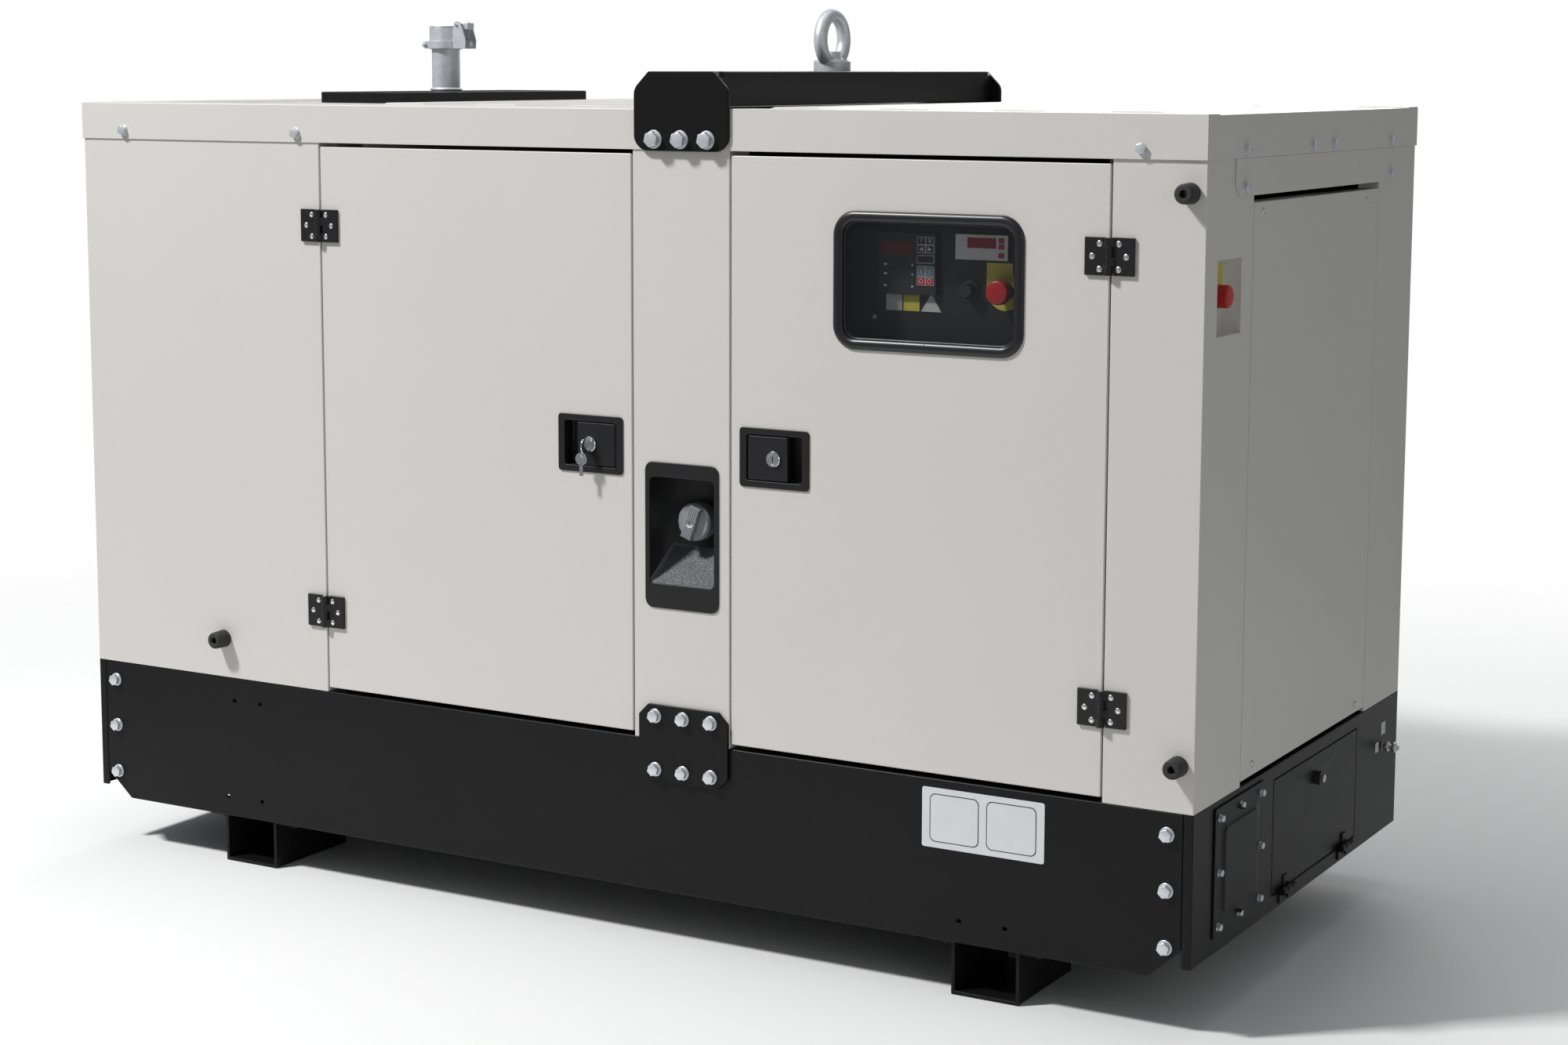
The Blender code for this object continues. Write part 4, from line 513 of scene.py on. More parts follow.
# ---- Fasteners, placed by one Geometry Nodes group ----
def fastener_group():
    """A node group that puts a copy of a fastener at each point, turned to the point's outward direction."""
    tree = bpy.data.node_groups.new("fasteners", "GeometryNodeTree")
    for name, kind in (("Places", "Geometry"), ("Fastener", "Object"), ("Finish", "Material")):
        tree.interface.new_socket(name, in_out="INPUT", socket_type="NodeSocket" + kind)
    tree.interface.new_socket("Fasteners", in_out="OUTPUT", socket_type="NodeSocketGeometry")
    add = tree.nodes.new
    given, result = add("NodeGroupInput"), add("NodeGroupOutput")
    model, outward = add("GeometryNodeObjectInfo"), add("GeometryNodeInputNamedAttribute")
    outward.data_type = "FLOAT_VECTOR"
    outward.inputs["Name"].default_value = "outward"
    turn = add("FunctionNodeAlignRotationToVector")
    turn.axis = "Z"
    copies, real = add("GeometryNodeInstanceOnPoints"), add("GeometryNodeRealizeInstances")
    coat = add("GeometryNodeSetMaterial")
    link = tree.links.new
    link(given.outputs["Fastener"], model.inputs["Object"])
    link(outward.outputs["Attribute"], turn.inputs["Vector"])
    link(given.outputs["Places"], copies.inputs["Points"])
    link(model.outputs["Geometry"], copies.inputs["Instance"])
    link(turn.outputs["Rotation"], copies.inputs["Rotation"])
    link(copies.outputs["Instances"], real.inputs["Geometry"])
    link(real.outputs["Geometry"], coat.inputs["Geometry"])
    link(given.outputs["Finish"], coat.inputs["Material"])
    link(coat.outputs["Geometry"], result.inputs["Fasteners"])
    return tree


FASTENERS = fastener_group()


def fasteners(name, head, places, body, finish=ZINC):
    """Puts a head, a function that draws it on a bmesh, at each (point, outward direction)."""
    bm = shape()
    head(bm)
    model_mesh = mesh_of(bm, "model")
    model_mesh.shade_smooth()
    model_mesh.set_sharp_from_angle(angle=math.radians(35))
    model = linked("model", model_mesh)
    mesh = bpy.data.meshes.new(name)
    mesh.from_pydata([tuple(p) for p, _ in places], [], [])
    outward = mesh.attributes.new("outward", "FLOAT_VECTOR", "POINT")
    outward.data.foreach_set("vector", [c for _, way in places for c in way])
    obj = linked(name, mesh)
    modifier = obj.modifiers.new("fasteners", "NODES")
    modifier.node_group = FASTENERS
    inputs = {s.name: s.identifier for s in FASTENERS.interface.items_tree if s.in_out == "INPUT"}
    modifier[inputs["Fastener"]] = model
    modifier[inputs["Finish"]] = finish
    bpy.context.view_layer.update()
    applied(obj)
    bpy.data.objects.remove(model)
    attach(obj, body)
    return obj


def pan_head(radius, height):
    """A domed head with a round recess."""
    profile = [(radius, 0), (radius, height * 0.4), (radius * 0.85, height * 0.8), (radius * 0.5, height),
               (radius * 0.42, height), (radius * 0.2, height * 0.3), (0.00001, height * 0.25)]
    return lambda bm: add_lathe(bm, (0, 0, 0), UP, profile, 0, 20)


def hex_bolt(washer, height):
    """A round washer, a spring washer and a hexagon head."""
    flat, spring = 0.14 * height, 0.32 * height
    across = 0.88 * washer
    angles = [math.pi / 3 * i + 0.3 for i in range(6)]
    corners = [(across * math.cos(a), across * math.sin(a)) for a in angles]
    round_washer = [(0.00001, 0), (washer, 0), (washer, 0.8 * flat), (0.97 * washer, flat), (0.00001, flat)]
    spring_washer = [(0.00001, flat), (0.80 * washer, flat), (0.80 * washer, spring), (0.00001, spring)]

    def draw(bm):
        add_lathe(bm, (0, 0, 0), UP, round_washer, 0, 40)
        add_lathe(bm, (0, 0, 0), UP, spring_washer, 0, 32)
        add_prism(bm, corners, "z", spring, height, 0, 0.07 * washer, 3)

    return draw


def add_text(name, words, size, centre, y, material, body):
    """A mark on a key, facing the front."""
    curve = bpy.data.curves.new(name, "FONT")
    curve.body = words
    curve.size = size
    curve.extrude = 0.0001
    curve.align_x = "CENTER"
    curve.align_y = "CENTER"
    text = linked(name, curve)
    bpy.context.view_layer.update()
    mesh = bpy.data.meshes.new_from_object(text.evaluated_get(bpy.context.evaluated_depsgraph_get()))
    upright = Matrix.Rotation(math.pi / 2, 4, "X")
    mesh.transform(Matrix.Translation((centre[0], y, centre[1])) @ upright)
    bpy.data.objects.remove(text)
    mesh.materials.clear()
    mesh.materials.append(material)
    obj = linked(name, mesh)
    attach(obj, body)
    return obj


# ---- Canopy ----
def proud(axis, level):
    """A test for the faces that stand out past a level, such as bolt heads on a plate."""
    index = "xyz".index(axis)
    return lambda spot: abs(spot[index]) > level


def canopy():
    """The panels, posts, doors and roof."""
    for node in ("side_panel_front", "side_panel_rear", "corner_post_front", "corner_post_rear",
                 "column_front", "column_rear", "left_end_panel", "end_access_panel",
                 "service_panel_left", "service_panel_right", "door_left", "door_right"):
        soften(node, fold=0.0019)
    soften("end_cross_plate", fold=0.0012, bolts=lambda s: s.x > 1.1025)
    on_lip = lambda s: s.z < 1.36 and (abs(s.y) > 0.4962 or abs(s.x) > 1.1027)
    soften("roof_cap", fold=0.0019, bolts=on_lip)


def roof_laps():
    """The right part of the roof laps over the left one: its thin edge shows round the lip."""
    start, end, thick = 0.290, 1.1012, 0.0014
    lip_bottom, lip_side = 1.3292, 0.4962
    bm = shape()
    for side in (-1, 1):
        outer, inner = side * (lip_side + thick), side * lip_side
        rim = side * 0.4500
        outline = [(outer, lip_bottom), (outer, ROOF_TOP + thick), (rim, ROOF_TOP + thick),
                   (rim, ROOF_TOP + HAIR), (inner, ROOF_TOP + HAIR), (inner, lip_bottom)]
        add_prism(bm, outline, "x", start, end, 0, 0.0009)
    piece("roof_lap", bm, "set", [COAT])


def door_linings():
    """Foam pads in each door, parted round the latch and the window, and the latch's cam with its nut."""
    pads = {
        "left": (-0.4700, [(-0.527, 0.385, -0.062, 1.298), (-0.058, 0.385, 0.078, 0.770),
                           (-0.058, 0.905, 0.078, 1.298)]),
        "right": (-0.4740, [(0.312, 0.385, 0.925, 0.770), (0.445, 0.775, 0.925, 0.995),
                            (0.312, 0.905, 0.455, 1.298), (0.835, 1.000, 0.925, 1.298)]),
    }
    for side, (back, places) in pads.items():
        x, z = LATCHES[side]
        bm = shape()
        for start, bottom, end, top in places:
            add_box(bm, (start, -0.4908, bottom), (end, back, top), 0, PAD_EDGE)
        add_box(bm, (x - 0.006, -0.4690, 0.795), (x + 0.006, -0.4665, 0.8485), 1, 0.0008)
        add_rod(bm, (x, -0.4712, z), (x, -0.4655, z), 0.009, 1, 6)
        piece(side + "_door_lining", bm, side + "_door", [FOAM, ZINC])


def door_gaskets():
    """A rubber strip on each folded flange of the column, which the doors close on."""
    bm = shape()
    for x in (0.0865, 0.2945):
        add_box(bm, (x, -0.4643, 0.372), (x + 0.0100, -0.4630, 1.310))
    piece("door_gaskets", bm, "set", [RUBBER_MATTE])


def wall_linings():
    """Foam on the rear wall, on the left end and under the roof."""
    bm = shape()
    for low, high in ((-0.525, 0.083), (0.308, 0.925)):
        add_box(bm, (low, 0.4405, 0.375), (high, 0.4615, 1.300), 0, PAD_EDGE)
    add_box(bm, (-1.068, -0.27, 0.40), (-1.048, 0.27, 1.29), 0, PAD_EDGE)
    add_box(bm, (-0.45, -0.44, 1.372), (1.05, 0.44, 1.3915), 0, PAD_EDGE)
    piece("wall_linings", bm, "set", [FOAM])


def panel_screws():
    """Screws of both end panels and of both rear panels."""
    corners = ((-0.259, 1.246), (0.235, 1.243), (0.249, 0.375), (-0.250, 0.378))
    places = [((END + HAIR, y, z), OUT["right"]) for y, z in corners]
    bottom, middle, top = 0.385, 0.84, 1.296
    levels = (bottom, middle, top)
    places += [((-END - HAIR, y, z), OUT["left"]) for y in (-0.262, 0.262) for z in levels]
    rear = HAIR - FACE
    for low, high in BAYS_X:
        places += [((x, rear, z), OUT["back"]) for x in (low + 0.03, high - 0.03) for z in levels]
        places += [(((low + high) / 2, rear, z), OUT["back"]) for z in (bottom, top)]
    fasteners("panel_screws", pan_head(0.0055, 0.0028), places, "set")


# ---- Hinges and latches ----
def hinges():
    """Both leaves of each hinge with three screws in each, and the pin between them."""
    for side in ("left", "right"):
        for level in ("upper", "lower"):
            for part in ("fixed", "moving"):
                soften(f"hinge_{part}_{side}_{level}", fold=0.0007, rim=0.0003, reach=0.0012, segments=2)
    leaf_face, pin_y, pin_half = -0.4988, -0.5003, 0.0292
    screws = ((0.0155, 0.019), (0.0275, 0.0), (0.0155, -0.019))
    for side, axis, way in (("left", -0.5485, 1), ("right", 0.949, -1)):
        for part, body, reach in (("moving", side + "_door", way), ("fixed", "set", -way)):
            places = [((axis + reach * dx, leaf_face, z + dz), OUT["front"])
                      for z in HINGES_Z for dx, dz in screws]
            fasteners(f"hinge_screws_{part}_{side}", pan_head(0.0046, 0.0012), places, body)
        bm = shape()
        for z in HINGES_Z:
            add_rod(bm, (axis, pin_y, z - pin_half), (axis, pin_y, z + pin_half), 0.0031, 0, 18, 0.0006)
        piece(f"hinge_pins_{side}", bm, "set", [ZINC])


def add_keys(bm, x, y, z):
    """The key that stands in a lock, seen on its edge, and a second one that hangs from it on a ring."""
    add_box(bm, (x - 0.0011, y - 0.0060, z - 0.0040), (x + 0.0011, y, z + 0.0040), 0, 0.0003)
    bow = ellipse((y - 0.0140, z - 0.002), 0.0100, 0.0125, 24)
    add_prism(bm, bow, "x", x - 0.0013, x + 0.0013, 0, 0.0004)
    ring_y, ring_z = y - 0.0179, z - 0.0125
    ring = [(x + 0.0005 * math.sin(a), ring_y + 0.0060 * math.cos(a), ring_z + 0.0080 * math.sin(a))
            for a in [math.pi * i / 14 for i in range(28)]]
    add_tube(bm, ring, 0.0007, 0, 8, closed=True)
    x, y, z = x - 0.004, y - 0.0169, z - 0.0110
    bow = ellipse((x, z - 0.012), 0.0115, 0.0105, 24)
    add_prism(bm, bow, "y", y - 0.0011, y + 0.0011, 0, 0.0004)
    add_box(bm, (x - 0.0035, y - 0.0011, z - 0.041), (x + 0.0035, y + 0.0011, z - 0.021), 0, 0.0004)


def latches():
    """Both latches with their locks. The keys are in the left one."""
    barrel = [(0.0128, 0), (0.0128, 0.0030), (0.0118, 0.0042), (0.0088, 0.0044), (0.0084, 0.0036),
              (0.00001, 0.0036)]
    for side, (x, z) in LATCHES.items():
        soften("latch_dish_" + side, fold=0.0012, rim=0.0004, reach=0.0020)
        soften("latch_paddle_" + side, fold=0.0011, rim=0.0005, reach=0.0020)
        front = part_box("latch_paddle_" + side)[0].y
        bm = shape()
        add_lathe(bm, (x, front + 0.0029, z), OUT["front"], barrel, 0, 36)
        # The keyway is a thin near-black plate on the barrel: painted shade.
        add_box(bm, (x - 0.0010, front - 0.0008, z - 0.0045), (x + 0.0010, front - 0.00055, z + 0.0045), 1)
        if side == "left":
            add_keys(bm, x, front - 0.0006, z)
        piece("lock_" + side, bm, "paddle_" + side, [CHROME, DARK])


# ---- Window, control panel ----
def window():
    """The rubber round the window, an oval bead with a lip behind it and a joint below, and the pane."""
    low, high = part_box("window_seal")
    centre = ((low.x + high.x) / 2, (low.z + high.z) / 2)
    width, height = high.x - low.x, high.z - low.z
    bead_y = FACE - 0.0002
    bm = shape()
    bead = rounded_outline(centre, width - 0.0235, height - 0.0185, 0.030, 10)
    add_tube(bm, [(x, bead_y, z) for x, z in bead], 0.0062, 0, 18, closed=True, width=0.0088)
    lip = rounded_outline(centre, width - 0.039, height - 0.034, 0.024, 10)
    add_tube(bm, [(x, FACE + 0.0045, z) for x, z in lip], 0.0030, 0, 10, closed=True)
    joint = ellipse((low.z + 0.00925, bead_y), -0.0089, -0.0064, 24, 0.5)
    add_prism(bm, [(y, z) for z, y in joint], "x", centre[0] - 0.0025, centre[0] - 0.0019, 1)
    piece("window_rubber", bm, "right_door", [RUBBER, DARK], ["window_seal"])
    soften("window_pane", fold=0.0006, rim=0.0003, reach=0.001)


def instruments():
    """The controller, the meter, the breakers and the blank stickers on the control cubicle."""
    y = PANEL_FACE - 0.0002
    front, thin = OUT["front"], 0.0004
    bm = shape()
    finishes = [MOULDED, WHITE, DISPLAY, PALE, DISPLAY_LIT, RED, SLATE, YELLOW, NEUTRAL, DARK, ZINC]
    black, white, display, pale, lit, red, slate, yellow, blank, dark, zinc = range(11)

    def plate(low, high, proudness, m, edge=0.0005, behind=0.0):
        add_box(bm, (low[0], y - behind - proudness, low[1]), (high[0], y - behind, high[1]), m, edge)

    def framed(low, high, m, inside, behind, rim=0.0009):
        plate(low, high, 0.0005, m, 0, behind)
        plate((low[0] + rim, low[1] + rim), (high[0] - rim, high[1] - rim), thin, inside, 0, behind + 0.0005)

    controller, key_width = 0.010, 0.0147
    plate((0.528, 1.108), (0.631, 1.206), controller, black, 0.0015)
    plate((0.534, 1.172), (0.588, 1.191), 0.0006, display, 0.0002, controller)
    for column in range(2):
        for row in range(2):
            x, z = 0.5975 + 0.0150 * column, 1.1998 - 0.0130 * row
            framed((x, z - 0.0126), (x + key_width, z), white, black, controller)
            low, high = ((1.1372, 1.1541), (1.1237, 1.1362))[row]
            framed((x, low), (x + key_width, high), white, (slate, red)[row], controller)
    framed((0.5975, 1.1583), (0.6272, 1.1708), pale, black, controller)
    for z in (1.1551, 1.1402, 1.1213):
        plate((0.5390, z - 0.0015), (0.5440, z + 0.0015), thin, white, 0, controller)
        plate((0.5880, z - 0.0016), (0.5905, z + 0.0012), thin, white, 0, controller)

    meter = 0.006
    plate((0.6610, 1.1655), (0.7535, 1.2070), meter, pale, 0.0012)
    plate((0.6830, 1.1850), (0.7320, 1.2010), 0.0006, lit, 0.0002, meter)
    for z in (1.1975, 1.1880, 1.1745):
        plate((0.7365, z - 0.0038), (0.7460, z + 0.0038), 0.0008, red, 0.0003, meter)

    plate((0.7140, 1.1120), (0.7590, 1.1630), 0.0008, yellow, 0.0002)
    low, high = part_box("estop_panel")
    stop_x, stop_z = (low.x + high.x) / 2, (low.z + high.z) / 2
    ring = [(0.0300, 0), (0.0300, 0.0006), (0.0240, 0.0008), (0.0001, 0.0008)]
    add_lathe(bm, (stop_x, y, stop_z), front, ring, yellow, 40)
    collar = [(0.0148, 0), (0.0148, 0.0060), (0.0135, 0.0072), (0.0090, 0.0072), (0.0090, 0)]
    add_lathe(bm, (stop_x, y - 0.0008, stop_z), front, collar, dark, 32)

    x, z = 0.686, 1.119
    switch = [(0.0150, 0), (0.0150, 0.003), (0.0125, 0.004), (0.0115, 0.018), (0.0100, 0.020),
              (0.0001, 0.020)]
    add_lathe(bm, (x, y, z), front, switch, black, 36, (12, 0.02))
    add_box(bm, (x - 0.0008, y - 0.0206, z), (x + 0.0008, y - 0.0198, z + 0.011), black)

    plate((0.5380, 1.0815), (0.5670, 1.1100), thin, blank, STICKER_EDGE)
    plate((0.5690, 1.0815), (0.5975, 1.1100), thin, yellow, STICKER_EDGE)
    triangle = [(0.6000, 1.0815), (0.6360, 1.0815), (0.6180, 1.1105)]
    add_prism(bm, triangle, "y", y - thin, y, blank, STICKER_EDGE)
    screw = [(0.0045, 0), (0.0042, 0.0016), (0.0020, 0.0022), (0.0001, 0.0012)]
    for x, z in ((0.517, 1.069), (0.430, 1.255), (0.858, 1.255), (0.430, 0.37), (0.858, 0.37)):
        add_lathe(bm, (x, y, z), front, screw, zinc, 20)

    rail, breaker = 0.0025, 0.030
    plate((0.450, 0.430), (0.838, 0.640), rail, black, 0.001)
    for i in range(5):
        x = 0.480 + 0.066 * i
        plate((x, 0.480), (x + 0.045, 0.600), breaker, black, 0.002, rail)
        plate((x + 0.016, 0.530), (x + 0.029, 0.556), 0.010, pale, 0.001, rail + breaker)
    piece("instruments", bm, "set", finishes)
    key_marks(y)


def key_marks(y):
    """The marks on the controller's keys: signs for help, cancel, start and stop, and two arrows."""
    left, right = 0.60485, 0.61985

    def sign(name, mark, x, z):
        add_text("mark_" + name, mark, 0.0100, (x, z), y - 0.0110, WHITE, "set")

    def arrow(name, way, x, z, half=0.0035):
        outline = [(x - way * half, z - half), (x + way * 0.0038, z), (x - way * half, z + half)]
        bm = shape()
        add_prism(bm, outline, "y", y - 0.0112, y - 0.0109)
        piece("mark_" + name, bm, "set", [WHITE])

    sign("help", "?", left, 1.1935)
    sign("cross", "X", right, 1.1935)
    arrow("back_arrow", -1, left, 1.1805)
    arrow("next_arrow", 1, right, 1.1805)
    for name, mark, z in (("start", "I", 1.1456), ("stop", "O", 1.1299)):
        sign(name + "_one", mark, left, z)
        sign(name + "_two", mark, right, z)


def stop_buttons():
    """The red heads with their ribbed rims. The one in the side pocket is narrower and deeper."""
    for node, body, way, wide, deep in (("estop_panel", "panel_stop", "front", 0.0190, 0.0160),
                                        ("estop_side", "side_stop", "right", 0.0172, 0.0235)):
        low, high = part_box(node)
        top = (low + high) / 2
        if way == "front":
            top.y, depth = low.y, high.y - low.y
        else:
            top.x, depth = high.x, high.x - low.x
        stem = [(0.0080, -depth), (0.0080, -deep), (wide - 0.0020, -deep)]
        rim = stem[2:] + [(wide, 0.0015 - deep), (wide, -0.0040), (wide - 0.0010, -0.0018)]
        crown = rim[3:] + [(wide - 0.0030, -0.0004), (0.0100, 0.0), (0.00001, 0.0003)]
        bm = shape()
        add_lathe(bm, top, OUT[way], stem, 0, 40)
        add_lathe(bm, top, OUT[way], rim, 0, 120, (30, 0.018))
        add_lathe(bm, top, OUT[way], crown, 0, 96)
        piece(node + "_button", bm, body, [RED], [node])


def side_stop_plate():
    """The pocket's mounting plate and its blank yellow label, both with a hole that the button passes."""
    y, z, hole = -0.388, 1.1235, 0.0186
    back, plate, label = 1.0655, 0.0080, 0.0004
    bm = shape()
    collar = [(0.0140, 0), (0.0140, 0.0010), (0.0092, 0.0012)]
    add_lathe(bm, (back - 0.0002, y, z), OUT["right"], collar, 1, 36)

    def around(low, high, level, thickness, m):
        for side, end in ((1, high[1]), (-1, low[1])):
            rim = ellipse((y, z), hole, side * hole, 48, 0.5)
            outline = rim + [(low[0], z), (low[0], end), (high[0], end), (high[0], z)]
            add_prism(bm, outline, "x", level, level + thickness, m)

    around((-0.4438, 1.0672), (-0.3462, 1.1798), back, plate, 2)
    around((-0.4280, 1.1030), (-0.3570, 1.1720), back + plate, label, 0)
    piece("side_stop_plate", bm, "set", [YELLOW, MOULDED, COAT])


# ---- Filler ----
def filler():
    """The recess with its coarse floor, lighter and speckled as painted glints, and the cap, grey as painted
    glare, with the ribs of its grip and its key cylinder.
    """
    # The floor's lighter, speckled finish is partly painted glints from the sun.
    coarse = (NYLON_COARSE_GLINTS, lambda s: s.y > FACE + 0.002 and s.z < 0.672)
    soften("filler_recess", fold=0.0014, rim=0.0005, reach=0.0020, paint=[coarse])
    # The cap's grey finish is a painted highlight for glare on black plastic.
    soften("filler_cap", fold=0.0010, rim=0.0005, reach=0.0020, finish=CAP_GLARE_GREY)
    (x, z), front = CAP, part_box("filler_cap")[0].y
    lean = math.radians(20)
    along = Vector((math.sin(lean), 0, math.cos(lean)))
    across = Vector((math.cos(lean), 0, -math.sin(lean)))
    bm = shape()
    for i in range(-2, 3):
        for start, end in ((-0.0265, -0.0085), (0.0085, 0.0265)):
            rib = [Vector((x, front, z)) + across * (i * 0.0038) + along * t for t in (start, end)]
            add_tube(bm, rib, 0.0010, 0, 8)
    cylinder = [(0.0080, 0), (0.0080, 0.0014), (0.0070, 0.0019), (0.0001, 0.0019)]
    add_lathe(bm, (x, front + 0.0002, z), OUT["front"], cylinder, 1, 28)
    # The key slot is a thin near-black plate: painted shade.
    add_box(bm, (x - 0.0006, front - 0.0019, z - 0.0034), (x + 0.0006, front - 0.0016, z + 0.0034), 2)
    piece("cap_details", bm, "filler_cap", [CAP_GLARE_GREY, CHROME, DARK])


# ---- Base ----
def base():
    """The base with its feet and tie plates, and the lock of its flap."""
    at_ends = lambda s: abs(s.y) > 0.4938 and abs(s.x) > 1.03
    side_bolts = (ZINC, lambda s: abs(s.y) > 0.4982)
    latch_bolts = (ZINC, lambda s: s.x > 1.1012 and s.y > 0.3)
    past_cover = lambda s: s.x > 1.1045 and max(abs(s.y + 0.303), abs(s.z - 0.238)) > 0.084
    for end in ("front", "rear"):
        soften(f"base_rail_{end}", fold=0.0026, rim=0.0004, reach=0.0036, bolts=at_ends)
    soften("base_end_left", fold=0.0020, paint=[side_bolts])
    soften("base_end_right", fold=0.0020, paint=[latch_bolts, side_bolts])
    soften("base_deck", fold=0.0012)
    soften("base_flap", fold=0.0012, rim=0.0005, reach=0.0025)
    soften("base_access_plate", fold=0.0010, rim=0.0004, reach=0.0022, bolts=past_cover)
    for end in ("front", "rear"):
        for side in ("left", "right"):
            soften(f"skid_foot_{end}_{side}", fold=0.0030, rim=0.0006, reach=0.0062)
        soften(f"tie_plate_{end}", fold=0.0010, rim=0.0006, bolts=proud("y", 0.4999))
    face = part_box("base_flap")[1].x
    y, z = 0.060, 0.287
    barrel = [(0.0068, 0), (0.0068, 0.0018), (0.0060, 0.0024), (0.0001, 0.0024)]
    bm = shape()
    add_lathe(bm, (face - 0.0010, y, z), OUT["right"], barrel, 0, 28)
    # The key slot is a thin near-black plate: painted shade.
    add_box(bm, (face + 0.0013, y - 0.0007, z - 0.0040), (face + 0.0016, y + 0.0007, z + 0.0040), 1)
    piece("flap_lock", bm, "base_flap", [CHROME, DARK])


def labels():
    """Blank plates and stickers, with their outlines only."""
    bm = shape()
    z, back = 0.2885, FACE - 0.0008
    add_prism(bm, rounded_outline((0.750, z), 0.212, 0.097, 0.004), "y", back, FACE - HAIR, 0, 0.0002)
    for x in (0.7005, 0.7995):
        outer = rounded_outline((x, z), 0.086, 0.078, 0.010)
        inner = rounded_outline((x, z), 0.083, 0.075, 0.009)
        add_prism(bm, outer, "y", back - 0.0002, back, 1)
        add_prism(bm, inner, "y", back - 0.0003, back - 0.0002, 0)
    for y, z, size in ((0.413, 0.2985, 0.022), (0.380, 0.2700, 0.018)):
        half = size / 2
        add_box(bm, (END + HAIR, y - half, z - half), (END + 0.0006, y + half, z + half), 2, STICKER_EDGE)
    piece("labels", bm, "set", [SILVER, MOULDED, NEUTRAL])


# ---- Lifting gear, exhaust, rubber ----
def lifting():
    """The beam, and the forged eye as one piece with its foot."""
    soften("lifting_beam", fold=0.0022, rim=0.0008, reach=0.0050, bolts=proud("y", 0.5046),
           corners=(0.0085, 0.49))
    x, y, z = EYE
    bm = shape()
    ring = [(x, a, b) for a, b in ellipse((y, z), 0.042, 0.042, 64)]
    add_tube(bm, ring, 0.0120, 0, 24, closed=True)
    foot = [(0.0325, 0), (0.0325, 0.0165), (0.0300, 0.0195), (0.0200, 0.0205), (0.0165, 0.0240),
            (0.0150, 0.0330), (0.0150, 0.0340)]
    add_lathe(bm, (x, y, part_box("lifting_eye")[0].z), UP, foot, 0, 40)
    piece("eye_ring", bm, "set", [GALVANISED], ["lifting_eye"])


def exhaust():
    """The cover on the roof, the pipe and its rain flap, and the clamp that holds the flap."""
    soften("exhaust_cover", fold=0.0022, rim=0.0008, reach=0.0040)
    soften("raincap_flap", fold=0.0008, rim=0.0004, reach=0.0012)
    above_roof = (GALVANISED, lambda s: s.z > 1.36)
    soften("exhaust_silencer", fold=0.0006, rim=0.0004, reach=0.0015, paint=[above_roof])
    x, y = PIPE
    screw_x, screw_z = x - 0.0400, 1.5020
    pin_x, pin_z = x + 0.039, 1.539
    bm = shape()
    band = [(0.0318, 0), (0.0345, 0.0006), (0.0345, 0.0140), (0.0318, 0.0146)]
    weld = [(0.0274, 0), (0.0300, 0.0008), (0.0310, 0.0030), (0.0285, 0.0058), (0.0272, 0.0062)]
    nut = [(0.0052, 0), (0.0052, 0.0040), (0.0040, 0.0044), (0.0001, 0.0044)]
    add_lathe(bm, (x, y, 1.4950), UP, band, 0, 48)
    add_lathe(bm, (x, y, 1.4155), UP, weld, 0, 48)
    add_rod(bm, (screw_x, y - 0.0190, screw_z), (screw_x, y + 0.0190, screw_z), 0.0030, 0, 16, 0.0004)
    for side in (-1, 1):
        tab = y + side * 0.0080
        add_box(bm, (x - 0.0460, tab - 0.0010, 1.4955), (x - 0.0330, tab + 0.0010, 1.5085), 0, 0.0004)
        add_lathe(bm, (screw_x, y + side * 0.0095, screw_z), (0, side, 0), nut, 1, 6)
    ear = [(0.0300, 1.4952), (0.0580, 1.4952), (0.0590, 1.5100), (0.0520, 1.5330), (0.0460, 1.5445),
           (0.0390, 1.5475), (0.0330, 1.5440), (0.0310, 1.5340), (0.0300, 1.5200)]
    for side in (-1, 1):
        low, high = sorted((y + side * 0.0158, y + side * 0.0176))
        add_prism(bm, [(x + a, b) for a, b in ear], "y", low, high, 0, 0.0004)
    add_rod(bm, (pin_x, y - 0.0200, pin_z), (pin_x, y + 0.0200, pin_z), 0.0026, 1, 16, 0.0004)
    piece("pipe_clamp", bm, "set", [GALVANISED, ZINC])


def buffers():
    """Hollow rubber buffers for the open doors, with a screw at the bottom of the hole."""
    screw = [(0.0052, 0), (0.0050, 0.0022), (0.0001, 0.0026)]
    for name in ("upper_right", "lower_right", "lower_left"):
        low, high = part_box("rubber_buffer_" + name)
        x, z, length = (low.x + high.x) / 2, (low.z + high.z) / 2, high.y - low.y
        hole_end = length - 0.0180
        side = [(0.0154, 0), (0.0160, 0.0008), (0.0150, length - 0.0040), (0.0144, length - 0.0016),
                (0.0130, length - 0.0003)]
        mouth = [(0.0115, length), (0.0068, length), (0.0060, length - 0.0008), (0.0060, hole_end),
                 (0.0001, hole_end)]
        bm = shape()
        add_lathe(bm, (x, high.y, z), OUT["front"], side + mouth, 0, 48)
        add_lathe(bm, (x, high.y - hole_end - 0.0002, z), OUT["front"], screw, 1, 24)
        piece("buffer_" + name, bm, "set", [RUBBER_MATTE, ZINC], ["rubber_buffer_" + name])


# ---- Machinery behind the doors ----
def machinery():
    """What stands on the deck, with its smaller fittings."""
    soften("engine_block", fold=0.006, rim=0.002, reach=0.014)
    soften("alternator", fold=0.004, rim=0.0015, reach=0.010)
    soften("radiator", fold=0.003, rim=0.001, reach=0.008)
    soften("fuel_tank", fold=0.008, rim=0.002, reach=0.018)
    soften("battery", fold=0.004, rim=0.001, reach=0.010, paint=[(ZINC, lambda s: s.z > 0.5475)])
    soften("control_cubicle", fold=0.0020, rim=0.0008, reach=0.005)
    soften("cooling_fan", fold=0.0012, rim=0.0006, reach=0.003)
    engine_dress()
    leads()


